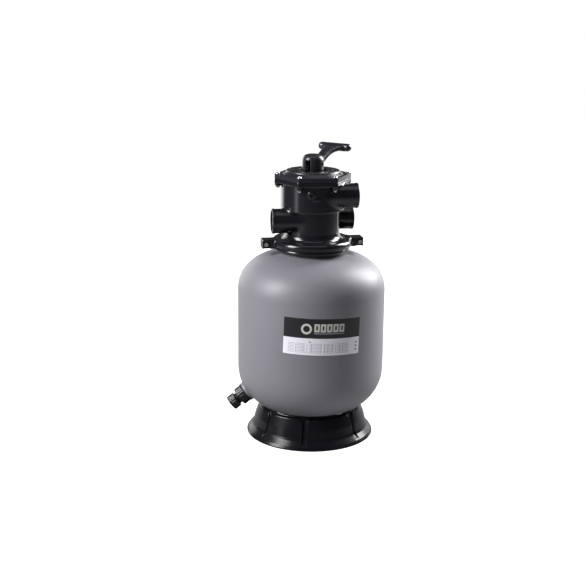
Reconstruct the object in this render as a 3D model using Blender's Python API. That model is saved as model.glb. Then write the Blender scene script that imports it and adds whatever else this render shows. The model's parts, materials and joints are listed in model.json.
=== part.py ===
"""Top-mount pool sand filter: tank, skirt base, six-way valve, band clamp and drain.

Metres, +Z up.  +X is the side of the pump and return ports, -X the side of the waste port
and the drain, -Y the labelled front.  Everything is built about the tank's own axis and
then moved sideways once, so that the whole filter stands centred on the origin.
"""

import math

import bmesh
import bpy
from mathutils import Matrix, Vector

# Whole filter
TANK_AXIS_X = 0.0142
GAP = 0.0003
SMOOTH_ANGLE = math.radians(32)
TOOL_PHASE = 0.041  # cutters are turned a little, so that no corner meets a corner exactly
MERGE_DISTANCE = 0.000003

# Tank
TANK_RADIUS = 0.175
TANK_WALL = 0.005
TANK_BOTTOM_Z = 0.0489
TANK_LOW_Z = 0.1733
TANK_HIGH_Z = 0.3572
TANK_CROWN_Z = 0.4466
CROWN_RADIUS = 0.049
BOTTOM_POWER = 2.2793
TOP_POWER = 2.2139
TANK_SEGMENTS = 48
NECK_RADIUS = 0.074
NECK_BORE = 0.066
NECK_FLANGE_RADIUS = 0.084
NECK_FLANGE_Z = 0.4575
NECK_TOP_Z = 0.468

# Skirt base
SKIRT_TOP_Z = 0.0745
SKIRT_LIP_RADIUS = 0.153
SKIRT_WALL = 0.004
SKIRT_WEB_DEGREES = (-146.3, -103.5, -47.0, 5.1, 57.3, 109.4, 161.6)
SKIRT_WEB_HALF_ANGLE = math.radians(2.6)
SKIRT_RECESS = 0.0028
SKIRT_SEGMENTS = 75

# Label
LABEL_HALF_ANGLE = math.radians(29.8)
LABEL_CENTRE_ANGLE = math.radians(0.75)
LABEL_SLANT = 0.035
LABEL_LOW_Z = 0.2434
LABEL_HIGH_Z = 0.3297
LABEL_THICKNESS = 0.0004
LABEL_CORNER = 0.0015

# Valve body
VALVE_BASE_Z = 0.4683
VALVE_FLANGE_TOP_Z = 0.4825
VALVE_NECK_RADIUS = 0.064
VALVE_BODY_RADIUS = 0.075
VALVE_LEDGE_Z = 0.5503
VALVE_FLOOR_Z = 0.556
VALVE_TOP_Z = 0.6225
CHAMBER_RADIUS = 0.066
HEX_CORNER_RADIUS = 0.0822
HEX_BOSS_RADIUS = 0.0078
HEX_BOSS_Z = 0.606
HEX_FLANGE_Z = 0.6125
SOCKET_RADIUS = 0.0253
SOCKET_TOP_Z = 0.499
PORT_RADIUS = 0.02925
PORT_THREAD_RADIUS = 0.0235
PORT_BORE_RADIUS = 0.019
PORT_THREAD_DEPTH = 0.030
PUMP_PORT = (0.0995, -0.040, 0.5865)
RETURN_PORT = (0.1035, 0.043, 0.520)
WASTE_PORT = (-0.0994, -0.027, 0.5265)
SPOKES = 6
GAUGE_ANGLE = math.radians(-99.7)
GAUGE_Z = 0.594

# Rotor, spring and lid
ROTOR_Z = 0.5596
ROTOR_RADIUS = 0.0645
ROTOR_HUB_Z = 0.574
STEM_RADIUS = 0.006
STEM_TOP_Z = 0.6635
PIN_Z = 0.6555
PIN_RADIUS = 0.003
SPRING_RADIUS = 0.0150
SPRING_WIRE = 0.0013
SPRING_TURNS = 5
LID_Z = 0.6228
LID_RIM_Z = 0.6327
DISC_RADIUS = 0.0625
DISC_Z = 0.641
DIAL_INNER = 0.0365
DIAL_OUTER = 0.058
RECESS_RADIUS = 0.035
RECESS_Z = 0.634

# Handle
ARM_ANGLE = math.radians(51.5)
HUB_RADIUS = 0.0255
HUB_BOTTOM_Z = 0.6372
HUB_TOP_Z = 0.678
HUB_SLOT = 0.013
PRESS_ANGLE = math.radians(20)
PRESS_LIFT = 0.005
GRIP_REACH = 0.103
GRIP_Z = 0.684
GRIP_HALF = (0.0095, 0.043, 0.0092)

# Clamp
CLAMP_RADIUS = 0.095
CLAMP_LOW_Z = 0.4525
CLAMP_HIGH_Z = 0.4865
CLAMP_TURN = math.radians(3.6)
EAR_END_X = 0.121
EAR_DEPTH = 0.0165
EAR_LOW_Z = 0.4590
EAR_HIGH_Z = 0.4805
CLAMP_SPLIT = 0.0006
CLAMP_BOLT_X = 0.1130
CLAMP_BOLT_Z = 0.4690

# Pipework inside the tank
PIPE_RADIUS = 0.025
PIPE_BORE = 0.0225
LATERAL_Z = 0.100
LATERAL_RADIUS = 0.0095
LATERAL_END = 0.117
LATERALS = 8

# Drain: distances are measured outwards along its axis from the tank's surface
DRAIN_TURN = math.radians(31)
SPIGOT_RADIUS = 0.0142
SPIGOT_BORE = 0.0105
SPIGOT_END = 0.046
DRAIN_BOSS_END = 0.0045
LOCK_NUT_RADIUS = 0.0225
LOCK_NUT_SPAN = (0.0076, 0.0245)
CAP_RADIUS = 0.0185
CAP_SPAN = (0.033, 0.052)
STRAINER_SLOTS = 3

BLACK = ((0.022, 0.022, 0.026), 0.22, 0.0)
SATIN_BLACK = ((0.045, 0.045, 0.050), 0.45, 0.0)
TANK_GREY = ((0.40, 0.40, 0.42), 0.48, 0.0)
RUBBER = ((0.018, 0.018, 0.018), 0.85, 0.0)
STEEL = ((0.62, 0.62, 0.64), 0.28, 1.0)
WHITE_PLASTIC = ((0.80, 0.80, 0.78), 0.45, 0.0)
GREY_PLASTIC = ((0.30, 0.30, 0.32), 0.45, 0.0)
LABEL_PAPER = ((0.50, 0.50, 0.52), 0.40, 0.0)


def add_object(name, mesh, finish=None):
    """Put a bmesh into the scene as one named object, with its faces turned outwards."""
    bmesh.ops.recalc_face_normals(mesh, faces=mesh.faces)
    data = bpy.data.meshes.new(name)
    mesh.to_mesh(data)
    mesh.free()
    obj = bpy.data.objects.new(name, data)
    bpy.context.scene.collection.objects.link(obj)
    if finish:
        paint(obj, finish)
    return obj


def paint(obj, finish):
    """Give an object its own material."""
    colour, roughness, metallic = finish
    material = bpy.data.materials.new(obj.name)
    material.use_nodes = True
    shader = material.node_tree.nodes["Principled BSDF"]
    shader.inputs["Base Color"].default_value = (*colour, 1.0)
    shader.inputs["Roughness"].default_value = roughness
    shader.inputs["Metallic"].default_value = metallic
    obj.data.materials.clear()
    obj.data.materials.append(material)


def join_rings(mesh, first, second):
    """Faces between two rings of vertices; either may be a single point on the axis."""
    if len(first) == 1 and len(second) == 1:
        return
    count = max(len(first), len(second))
    for i in range(count):
        j = (i + 1) % count
        if len(first) == 1:
            mesh.faces.new((first[0], second[i], second[j]))
        elif len(second) == 1:
            mesh.faces.new((first[i], second[0], first[j]))
        else:
            mesh.faces.new((first[i], second[i], second[j], first[j]))


def revolve(name, profile, segments, finish=None, shape=None, phase=0.0):
    """Turn a closed (radius, height) loop about Z; shape(angle, r, z) may vary the radius."""
    mesh = bmesh.new()
    rings = []
    for r, z in profile:
        if r == 0.0:
            rings.append([mesh.verts.new((0.0, 0.0, z))])
            continue
        ring = []
        for i in range(segments):
            angle = 2 * math.pi * i / segments + phase
            radius = shape(angle, r, z) if shape else r
            ring.append(mesh.verts.new((radius * math.cos(angle), radius * math.sin(angle), z)))
        rings.append(ring)
    for first, second in zip(rings, rings[1:] + rings[:1]):
        join_rings(mesh, first, second)
    return add_object(name, mesh, finish)


def prism(name, outline, low, high, finish=None):
    """Straight extrusion along Z of a closed outline of (x, y) points."""
    mesh = bmesh.new()
    bottom = [mesh.verts.new((x, y, low)) for x, y in outline]
    top = [mesh.verts.new((x, y, high)) for x, y in outline]
    join_rings(mesh, bottom, top)
    mesh.faces.new(bottom)
    mesh.faces.new(top)
    return add_object(name, mesh, finish)


def box(name, low, high, finish=None):
    """Box between two opposite corners."""
    outline = [(low[0], low[1]), (high[0], low[1]), (high[0], high[1]), (low[0], high[1])]
    return prism(name, outline, low[2], high[2], finish)


def arc_points(radius, start, end, steps, centre=(0.0, 0.0)):
    """Points along a circular arc, both ends included."""
    points = []
    for i in range(steps + 1):
        angle = start + (end - start) * i / steps
        points.append((centre[0] + radius * math.cos(angle), centre[1] + radius * math.sin(angle)))
    return points


def wedge(name, inner, outer, middle, half_angle, low, high):
    """Sector of a ring, used to cut the valve's passages."""
    start, end = middle - half_angle, middle + half_angle
    outline = arc_points(outer, start, end, 4) + arc_points(inner, end, start, 3)
    return prism(name, outline, low, high)


def tube_profile(inner, outer, low, high):
    """Loop of a plain ring or sleeve."""
    return [(inner, low), (outer, low), (outer, high), (inner, high)]


def ring(name, inner, outer, low, high, segments, finish):
    """Plain ring or sleeve about Z."""
    phase = 0.0 if finish else TOOL_PHASE
    return revolve(name, tube_profile(inner, outer, low, high), segments, finish, phase=phase)


def solid_profile(*points):
    """Loop of a solid of revolution: the outer points, closed along the axis."""
    return [(0.0, points[0][1]), *points, (0.0, points[-1][1])]


def cylinder(name, radius, low, high, segments=32, finish=None):
    """Solid cylinder about Z."""
    profile = solid_profile((radius, low), (radius, high))
    phase = 0.0 if finish else TOOL_PHASE
    return revolve(name, profile, segments, finish, phase=phase)


def torus(name, major, minor, z, segments, finish, around=10):
    """O-ring about Z."""
    profile = arc_points(minor, 0, 2 * math.pi * (around - 1) / around, around - 1, (major, z))
    return revolve(name, profile, segments, finish)


def aim(obj, origin, direction):
    """Stand an object built about Z at an origin, with its Z along a direction."""
    turn = Vector((0, 0, 1)).rotation_difference(Vector(direction).normalized())
    obj.matrix_world = Matrix.Translation(Vector(origin)) @ turn.to_matrix().to_4x4()


def boolean(target, tool, operation):
    """Add or take away a tool solid, then throw the tool away."""
    tool.hide_render = True
    tool.display_type = "WIRE"
    step = target.modifiers.new(operation, "BOOLEAN")
    step.operation = operation
    step.solver = "EXACT"
    step.object = tool
    bpy.context.view_layer.update()
    graph = bpy.context.evaluated_depsgraph_get()
    baked = bpy.data.meshes.new_from_object(target.evaluated_get(graph))
    target.modifiers.clear()
    target.data = baked
    bpy.data.objects.remove(tool)
    mesh = bmesh.new()
    mesh.from_mesh(baked)
    bmesh.ops.remove_doubles(mesh, verts=mesh.verts, dist=MERGE_DISTANCE)
    bmesh.ops.dissolve_degenerate(mesh, edges=mesh.edges, dist=MERGE_DISTANCE)
    mesh.to_mesh(baked)
    mesh.free()


def cut(target, tool):
    boolean(target, tool, "DIFFERENCE")


def fuse(target, tool):
    boolean(target, tool, "UNION")


def offset_profile(points, distance):
    """Inner side of a wall whose outer side runs through the points, bottom to top."""
    moved = []
    for i, (r, z) in enumerate(points):
        r0, z0 = points[max(i - 1, 0)]
        r1, z1 = points[min(i + 1, len(points) - 1)]
        length = math.hypot(r1 - r0, z1 - z0)
        moved.append((r - distance * (z1 - z0) / length, z + distance * (r1 - r0) / length))
    return moved


def bottom_point(turn):
    """Point on the tank's bottom dome; turn 0 is the wall, a quarter turn the axis."""
    r = TANK_RADIUS * math.cos(turn) ** (2 / BOTTOM_POWER)
    z = TANK_LOW_Z + (TANK_BOTTOM_Z - TANK_LOW_Z) * math.sin(turn) ** (2 / BOTTOM_POWER)
    return r, z


def top_point(turn):
    """Point on the tank's shoulder; turn 0 is the wall, a quarter turn the crown."""
    r = CROWN_RADIUS + (TANK_RADIUS - CROWN_RADIUS) * math.cos(turn) ** (2 / TOP_POWER)
    z = TANK_HIGH_Z + (TANK_CROWN_Z - TANK_HIGH_Z) * math.sin(turn) ** (2 / TOP_POWER)
    return r, z


def drain_frame():
    """Where the drain leaves the tank, and the way it points."""
    r, z = bottom_point(DRAIN_TURN)
    r_next, z_next = bottom_point(DRAIN_TURN + 0.001)
    outward = Vector((z_next - z, 0.0, r_next - r)).normalized()
    if outward.x > 0:
        outward = -outward
    return Vector((-r, 0.0, z)), outward


DRAIN_ORIGIN, DRAIN_AXIS = drain_frame()


def on_drain(obj, shift=0.0):
    """Move a piece built about Z onto the drain's axis."""
    aim(obj, DRAIN_ORIGIN + DRAIN_AXIS * shift, DRAIN_AXIS)
    return obj


def tank_shell():
    """Blow-moulded tank with a flanged neck and a flat drain boss."""
    bottom = [bottom_point(math.radians(a)) for a in (84, 70, 57, 45, 34, 23, 12, 0)]
    top = [top_point(math.radians(a)) for a in (0, 14, 27, 40, 54, 70)]
    outer = bottom + top
    inner = [p for p in offset_profile(outer, TANK_WALL) if p[0] > 0.004]
    flange = [
        (NECK_RADIUS + 0.0045, 0.4468),
        (NECK_RADIUS, 0.4505),
        (NECK_RADIUS, NECK_FLANGE_Z),
        (NECK_FLANGE_RADIUS, NECK_FLANGE_Z),
        (NECK_FLANGE_RADIUS, NECK_TOP_Z),
        (NECK_BORE, NECK_TOP_Z),
        (NECK_BORE, 0.4420),
    ]
    loop = [(0.0, TANK_BOTTOM_Z), *outer, *flange, *reversed(inner)]
    loop.append((0.0, TANK_BOTTOM_Z + TANK_WALL))
    shell = revolve("tank_shell", loop, TANK_SEGMENTS)
    boss_profile = solid_profile((0.0300, -0.0035), (0.0265, DRAIN_BOSS_END))
    fuse(shell, on_drain(revolve("boss", boss_profile, 24, phase=TOOL_PHASE)))
    cut(shell, on_drain(cylinder("bore", SPIGOT_RADIUS + 0.0004, -0.03, 0.02, 24)))
    paint(shell, TANK_GREY)


def skirt_shape(angle, radius, height):
    """Raised panels with a narrow recessed web between each two."""
    offsets = [angle - math.radians(web) for web in SKIRT_WEB_DEGREES]
    from_web = min(abs((offset + math.pi) % (2 * math.pi) - math.pi) for offset in offsets)
    if from_web > SKIRT_WEB_HALF_ANGLE or height < 0.022:
        return radius
    return radius - SKIRT_RECESS


def base_skirt():
    """Hollow moulded skirt; its top edge carries the tank, its flange stands on the floor."""
    wall = [
        (SKIRT_LIP_RADIUS - 0.0005, 0.0),
        (SKIRT_LIP_RADIUS, 0.003),
        (0.1505, 0.0095),
        (0.1420, 0.0175),
        (0.1370, 0.0240),
        (0.1330, 0.0430),
        (0.1222, 0.0725),
        (0.1212, SKIRT_TOP_Z),
    ]
    loop = [*wall, (0.1180, 0.0737), (0.1120, 0.0700), (0.1120, 0.0665)]
    loop += [(r - SKIRT_WALL, z) for r, z in reversed(wall[4:7])]
    loop += [(0.1400, 0.0110), (0.1330, 0.0060), (0.1330, 0.0)]
    outside = {round(z, 6) for r, z in wall[4:7]}

    def shape(angle, r, z):
        on_wall = round(z, 6) in outside and r > 0.1222
        return skirt_shape(angle, r, z) if on_wall else r

    revolve("base_skirt", loop, SKIRT_SEGMENTS, SATIN_BLACK, shape)


def rating_label():
    """Thin sticker with rounded corners, wrapped round the front of the tank."""
    width = LABEL_HALF_ANGLE * TANK_RADIUS
    middle = (LABEL_LOW_Z + LABEL_HIGH_Z) / 2
    height = (LABEL_HIGH_Z - LABEL_LOW_Z) / 2
    columns = 24
    mesh = bmesh.new()
    layers = []
    for radius in (TANK_RADIUS + GAP, TANK_RADIUS + GAP + LABEL_THICKNESS):
        rows = []
        for i in range(columns + 1):
            across = -width + 2 * width * i / columns
            inset = max(0.0, abs(across) - (width - LABEL_CORNER))
            drop = LABEL_CORNER - math.sqrt(max(LABEL_CORNER**2 - inset**2, 0.0))
            reach = height - 0.9 * drop
            row = []
            for side in (-1, 1):
                arc = across + LABEL_SLANT * side * reach
                angle = -math.pi / 2 + LABEL_CENTRE_ANGLE + arc / TANK_RADIUS
                level = middle + side * reach - LABEL_SLANT * across
                row.append(mesh.verts.new((radius * math.cos(angle), radius * math.sin(angle), level)))
            rows.append(row)
        layers.append(rows)
    inner, outer = layers
    for i in range(columns):
        mesh.faces.new((inner[i][0], inner[i + 1][0], inner[i + 1][1], inner[i][1]))
        mesh.faces.new((outer[i][0], outer[i][1], outer[i + 1][1], outer[i + 1][0]))
        for side in (0, 1):
            edge = (inner[i][side], outer[i][side], outer[i + 1][side], inner[i + 1][side])
            mesh.faces.new(edge)
    for i in (0, columns):
        mesh.faces.new((inner[i][0], inner[i][1], outer[i][1], outer[i][0]))
    add_object("rating_label", mesh, LABEL_PAPER)


def ribbed(count, depth, low, high):
    """Radius rule that cuts finger grooves into the outside of a cap or nut."""

    def shape(angle, radius, height):
        in_span = low < height < high
        groove = 0.5 - 0.5 * math.cos(angle * count)
        return radius - depth * groove if in_span and radius > SPIGOT_RADIUS + 0.002 else radius

    return shape


def drain():
    """Threaded drain through the lower shoulder, with a strainer inside and a screw cap."""
    flange = 0.0215
    spigot = [
        (SPIGOT_BORE, -0.0125),
        (flange, -0.0125),
        (flange, -0.0100),
        (SPIGOT_RADIUS, -0.0100),
        (SPIGOT_RADIUS, SPIGOT_END),
        (SPIGOT_BORE, SPIGOT_END),
    ]
    on_drain(revolve("drain_spigot", spigot, 24, BLACK))
    gasket = ring("drain_gasket", SPIGOT_RADIUS + 0.0006, 0.0240, 0.0048, 0.0073, 28, RUBBER)
    on_drain(gasket)
    low, high = LOCK_NUT_SPAN
    nut = [
        (SPIGOT_RADIUS + GAP, low),
        (LOCK_NUT_RADIUS, low),
        (LOCK_NUT_RADIUS, low + 0.0005),
        (LOCK_NUT_RADIUS, high - 0.0020),
        (LOCK_NUT_RADIUS - 0.0020, high),
        (SPIGOT_RADIUS + GAP, high),
    ]
    shape = ribbed(18, 0.0012, low + 0.0002, high - 0.0001)
    on_drain(revolve("drain_lock_nut", nut, 54, BLACK, shape))
    strainer = [
        (SPIGOT_BORE, -0.0128),
        (SPIGOT_BORE, -0.0400),
        (0.0, -0.0400),
        (0.0, -0.0418),
        (SPIGOT_BORE + 0.0020, -0.0418),
        (SPIGOT_BORE + 0.0020, -0.0128),
    ]
    basket = on_drain(revolve("drain_strainer", strainer, 18))
    for i in range(STRAINER_SLOTS):
        slot = box("slot", (-0.02, -0.0008, -0.037), (0.02, 0.0008, -0.016))
        on_drain(slot)
        slot.matrix_world = slot.matrix_world @ Matrix.Rotation(math.pi * i / STRAINER_SLOTS + 0.1, 4, "Z")
        cut(basket, slot)
    paint(basket, GREY_PLASTIC)
    washer = solid_profile((SPIGOT_RADIUS - 0.0004, 0.0), (SPIGOT_RADIUS - 0.0004, 0.0020))
    on_drain(revolve("drain_cap_gasket", washer, 24, RUBBER), SPIGOT_END + GAP)
    low, high = CAP_SPAN
    roof = SPIGOT_END + 0.0026 - low
    cap = [
        (0.0, roof),
        (SPIGOT_RADIUS + GAP, roof),
        (SPIGOT_RADIUS + GAP, 0.0),
        (CAP_RADIUS - 0.0006, 0.0),
        (CAP_RADIUS, 0.0008),
        (CAP_RADIUS, high - low - 0.0040),
        (CAP_RADIUS - 0.0012, high - low - 0.0015),
        (CAP_RADIUS - 0.0040, high - low),
        (0.0, high - low),
    ]
    shape = ribbed(18, 0.0010, 0.0004, high - low - 0.0010)
    on_drain(revolve("drain_cap", cap, 54, BLACK, shape), low)


def hex_outline(corner_radius, round_radius, steps=4):
    """Hexagon with rounded corners, one corner on +X."""
    points = []
    for i in range(6):
        middle = math.pi / 3 * i
        centre = (corner_radius * math.cos(middle), corner_radius * math.sin(middle))
        points += arc_points(round_radius, middle - math.pi / 6, middle + math.pi / 6, steps, centre)
    return points


def port(body, mouth, inner_x):
    """Round socket boss along X, from inside the body out to its mouth."""
    x, y, z = mouth
    side = 1 if x > 0 else -1
    length = abs(x - inner_x)
    profile = solid_profile((PORT_RADIUS - 0.006, 0.0), (PORT_RADIUS, 0.006), (PORT_RADIUS, length))
    tube = revolve("port", profile, 28, phase=TOOL_PHASE)
    aim(tube, (inner_x, y, z), (side, 0, 0))
    fuse(body, tube)


def bore_port(body, mouth, inner_x):
    """Threaded entry and plain bore of a port."""
    x, y, z = mouth
    side = 1 if x > 0 else -1
    depth = abs(x - inner_x)
    profile = solid_profile(
        (PORT_THREAD_RADIUS, -0.01),
        (PORT_THREAD_RADIUS, PORT_THREAD_DEPTH),
        (PORT_BORE_RADIUS, PORT_THREAD_DEPTH + 0.002),
        (PORT_BORE_RADIUS, depth),
    )
    tool = revolve("bore", profile, 22, phase=TOOL_PHASE)
    aim(tool, (x, y, z), (-side, 0, 0))
    cut(body, tool)


def valve_body():
    """Body with hexagonal top flange, three ports, rotor chamber and tank passages."""
    neck = VALVE_NECK_RADIUS
    outside = solid_profile(
        (NECK_FLANGE_RADIUS, VALVE_BASE_Z),
        (NECK_FLANGE_RADIUS, VALVE_FLANGE_TOP_Z),
        (0.0720, VALVE_FLANGE_TOP_Z),
        (0.0675, 0.4842),
        (0.0650, 0.4875),
        (neck, 0.4915),
        (neck, VALVE_LEDGE_Z - 0.004),
        (VALVE_BODY_RADIUS - 0.0015, VALVE_LEDGE_Z),
        (VALVE_BODY_RADIUS, VALVE_LEDGE_Z + 0.002),
        (VALVE_BODY_RADIUS, VALVE_TOP_Z - 0.004),
    )
    body = revolve("valve_body", outside, 44)
    outline = hex_outline(HEX_CORNER_RADIUS, HEX_BOSS_RADIUS)
    fuse(body, prism("hex", outline, HEX_FLANGE_Z, VALVE_TOP_Z))
    for i in range(6):
        angle = math.pi / 3 * i
        x, y = HEX_CORNER_RADIUS * math.cos(angle), HEX_CORNER_RADIUS * math.sin(angle)
        boss = cylinder("boss", HEX_BOSS_RADIUS - 0.0003, HEX_BOSS_Z, HEX_FLANGE_Z + 0.004, 12)
        boss.location = (x, y, 0)
        fuse(body, boss)
    port(body, PUMP_PORT, 0.0)
    port(body, RETURN_PORT, 0.004)
    port(body, WASTE_PORT, -0.010)
    eye = cylinder("gauge_boss", 0.0085, 0.060, VALVE_BODY_RADIUS + 0.0018, 24)
    aim(eye, (0, 0, GAUGE_Z), (math.cos(GAUGE_ANGLE), math.sin(GAUGE_ANGLE), 0))
    fuse(body, eye)
    cut(body, cylinder("chamber", CHAMBER_RADIUS, VALVE_FLOOR_Z, VALVE_TOP_Z + 0.01, 40))
    bore_port(body, PUMP_PORT, 0.046)
    bore_port(body, RETURN_PORT, 0.030)
    bore_port(body, WASTE_PORT, -0.036)
    cut(body, ring("annulus", 0.0290, 0.0560, VALVE_BASE_Z - 0.01, 0.4985, 24, None))
    cut(body, cylinder("socket", SOCKET_RADIUS, VALVE_BASE_Z - 0.01, SOCKET_TOP_Z, 24))
    cut(body, cylinder("passage", 0.0205, SOCKET_TOP_Z - 0.01, VALVE_FLOOR_Z + 0.01, 24))
    half = math.radians(23)
    for degrees in (90, 330):
        middle = math.radians(degrees)
        cut(body, wedge("window", 0.0310, 0.0540, middle, half, 0.490, VALVE_FLOOR_Z + 0.01))
    for degrees in (30, 210):
        middle = math.radians(degrees)
        cut(body, wedge("pocket", 0.0310, 0.0550, middle, half, 0.5080, VALVE_FLOOR_Z + 0.01))
    cut(body, ring("groove", 0.0770, 0.0815, VALVE_BASE_Z - 0.01, 0.4725, 32, None))
    for i in range(6):
        angle = math.pi / 3 * i
        x, y = HEX_CORNER_RADIUS * math.cos(angle), HEX_CORNER_RADIUS * math.sin(angle)
        hole = cylinder("hole", 0.0029, HEX_BOSS_Z - 0.01, VALVE_TOP_Z + 0.01, 10)
        hole.location = (x, y, 0)
        cut(body, hole)
    tap = cylinder("tap", 0.0052, 0.050, 0.090, 20)
    aim(tap, (0, 0, GAUGE_Z), (math.cos(GAUGE_ANGLE), math.sin(GAUGE_ANGLE), 0))
    cut(body, tap)
    paint(body, BLACK)


def gauge_plug():
    """Screwed plug and its o-ring in the gauge tapping."""
    outward = (math.cos(GAUGE_ANGLE), math.sin(GAUGE_ANGLE), 0)
    face = VALVE_BODY_RADIUS + 0.0018
    profile = solid_profile(
        (0.0049, face - 0.0080),
        (0.0049, face + 0.0016),
        (0.0070, face + 0.0016),
        (0.0070, face + 0.0034),
        (0.0060, face + 0.0044),
    )
    plug = revolve("gauge_port_plug", profile, 20)
    aim(plug, (0, 0, GAUGE_Z), outward)
    key = prism("key", arc_points(0.0032, 0, 2 * math.pi * 5 / 6, 5), face + 0.0015, face + 0.01)
    aim(key, (0, 0, GAUGE_Z), outward)
    cut(plug, key)
    paint(plug, BLACK)
    seal = ring("gauge_plug_seal", 0.0052, 0.0068, face + GAP, face + 0.0013, 24, RUBBER)
    aim(seal, (0, 0, GAUGE_Z), outward)


def spider_gasket():
    """Rubber wheel that seals the rotor against the passages in the floor."""
    low, high = VALVE_FLOOR_Z + GAP, VALVE_FLOOR_Z + 0.0033
    gasket = ring("spider_gasket", 0.0575, 0.0655, low, high, 28, None)
    fuse(gasket, ring("inner", 0.0215, 0.0275, low, high, 24, None))
    for i in range(SPOKES):
        turn = 2 * math.pi * i / SPOKES
        spoke = box("spoke", (0.0250, -0.0015, low), (0.0600, 0.0015, high))
        spoke.rotation_euler.z = turn
        fuse(gasket, spoke)
    paint(gasket, RUBBER)


def rotor():
    """Diverter disc with one open sector, a hub and the stem that the handle turns."""
    profile = solid_profile(
        (ROTOR_RADIUS, ROTOR_Z),
        (ROTOR_RADIUS, ROTOR_Z + 0.007),
        (0.0300, ROTOR_Z + 0.010),
        (0.0200, ROTOR_HUB_Z),
        (STEM_RADIUS, ROTOR_HUB_Z),
        (STEM_RADIUS, STEM_TOP_Z),
    )
    disc = revolve("rotor", profile, 32)
    half = math.radians(25)
    cut(disc, wedge("window", 0.0300, 0.0560, ARM_ANGLE, half, 0.55, 0.60))
    cavity = wedge("cavity", 0.0100, 0.0560, ARM_ANGLE + math.pi, half, 0.55, ROTOR_Z + 0.005)
    cut(disc, cavity)
    hole = cylinder("hole", PIN_RADIUS + 0.0002, -0.02, 0.02, 16)
    aim(hole, (0, 0, PIN_Z), (-math.sin(ARM_ANGLE), math.cos(ARM_ANGLE), 0))
    cut(disc, hole)
    paint(disc, WHITE_PLASTIC)


def spring():
    """Coil that presses the rotor onto its gasket."""
    low = ROTOR_HUB_Z + GAP + SPRING_WIRE
    high = LID_Z - 0.0026 - SPRING_WIRE
    per_turn, around = 14, 4
    count = per_turn * SPRING_TURNS
    mesh = bmesh.new()
    rings = []
    for i in range(count + 1):
        angle = 2 * math.pi * i / per_turn
        z = low + (high - low) * i / count
        ring_points = []
        for k in range(around):
            phase = 2 * math.pi * k / around
            r = SPRING_RADIUS + SPRING_WIRE * math.cos(phase)
            height = z + SPRING_WIRE * math.sin(phase)
            ring_points.append(mesh.verts.new((r * math.cos(angle), r * math.sin(angle), height)))
        rings.append(ring_points)
    for first, second in zip(rings, rings[1:]):
        join_rings(mesh, first, second)
    mesh.faces.new(rings[0])
    mesh.faces.new(rings[-1])
    add_object("spring", mesh, STEEL)


def lid():
    """Hexagonal lid with a raised disc, a recess round the handle and a stem guide."""
    outline = hex_outline(HEX_CORNER_RADIUS, HEX_BOSS_RADIUS)
    cover = prism("lid", outline, LID_Z, LID_RIM_Z)
    slope = solid_profile(
        (0.0700, LID_RIM_Z - 0.003),
        (0.0700, LID_RIM_Z + 0.0004),
        (DISC_RADIUS, DISC_Z - 0.003),
        (DISC_RADIUS - 0.0015, DISC_Z),
    )
    fuse(cover, revolve("disc", slope, 40, phase=TOOL_PHASE))
    fuse(cover, cylinder("guide", 0.0105, 0.600, LID_Z + 0.002, 20))
    cut(cover, cylinder("recess", RECESS_RADIUS, RECESS_Z, DISC_Z + 0.01, 36))
    cut(cover, ring("seat", DIAL_INNER - GAP, DIAL_OUTER + GAP, DISC_Z - 0.001, DISC_Z + 0.01, 40, None))
    cut(cover, cylinder("bore", STEM_RADIUS + GAP, 0.59, DISC_Z + 0.01, 24))
    cut(cover, ring("stem_groove", 0.0050, 0.0090, 0.606, 0.6105, 24, None))
    cut(cover, ring("seal_groove", 0.0672, 0.0717, LID_Z - 0.01, LID_Z + 0.0040, 32, None))
    for i in range(6):
        angle = math.pi / 3 * i
        x, y = HEX_CORNER_RADIUS * math.cos(angle), HEX_CORNER_RADIUS * math.sin(angle)
        hole = cylinder("hole", 0.0029, LID_Z - 0.01, LID_RIM_Z + 0.01, 10)
        hole.location = (x, y, 0)
        cut(cover, hole)
    paint(cover, BLACK)


def seals_and_washers():
    """O-rings, the spring's upper washer, the dial plate and the washer under the cam."""
    torus("neck_oring", 0.07925, 0.0018, VALVE_BASE_Z + 0.0019, 40, RUBBER, 5)
    torus("lid_oring", 0.06945, 0.0018, LID_Z + 0.0019, 40, RUBBER, 5)
    torus("stem_oring", 0.00765, 0.0012, 0.60825, 16, RUBBER, 6)
    ring("spring_washer", 0.0109, 0.0185, LID_Z - 0.0023, LID_Z - GAP, 32, STEEL)
    ring("position_dial", DIAL_INNER, DIAL_OUTER, DISC_Z - 0.0007, DISC_Z + 0.0002, 48, LABEL_PAPER)
    ring("cam_washer", STEM_RADIUS + 0.0010, 0.0240, RECESS_Z + GAP, RECESS_Z + 0.0028, 28, WHITE_PLASTIC)


def lid_fixings():
    """Six screws through the hexagon's corners, each with a nut below."""
    for i in range(6):
        angle = math.pi / 3 * i
        x, y = HEX_CORNER_RADIUS * math.cos(angle), HEX_CORNER_RADIUS * math.sin(angle)
        seat = LID_RIM_Z + GAP
        profile = solid_profile(
            (0.0025, HEX_BOSS_Z - 0.0058),
            (0.0025, seat),
            (0.0052, seat),
            (0.0050, seat + 0.0016),
            (0.0036, seat + 0.0033),
        )
        screw = revolve(f"lid_screw_{i + 1}", profile, 12, STEEL)
        screw.location = (x, y, 0)
        nut_outline = arc_points(0.0050, 0, 2 * math.pi * 5 / 6, 5)
        low, high = HEX_BOSS_Z - GAP - 0.0042, HEX_BOSS_Z - GAP
        nut = prism(f"lid_nut_{i + 1}", nut_outline, low, high)
        cut(nut, cylinder("hole", 0.0029, low - 0.01, high + 0.01, 10))
        nut.location = (x, y, 0)
        paint(nut, STEEL)


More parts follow.
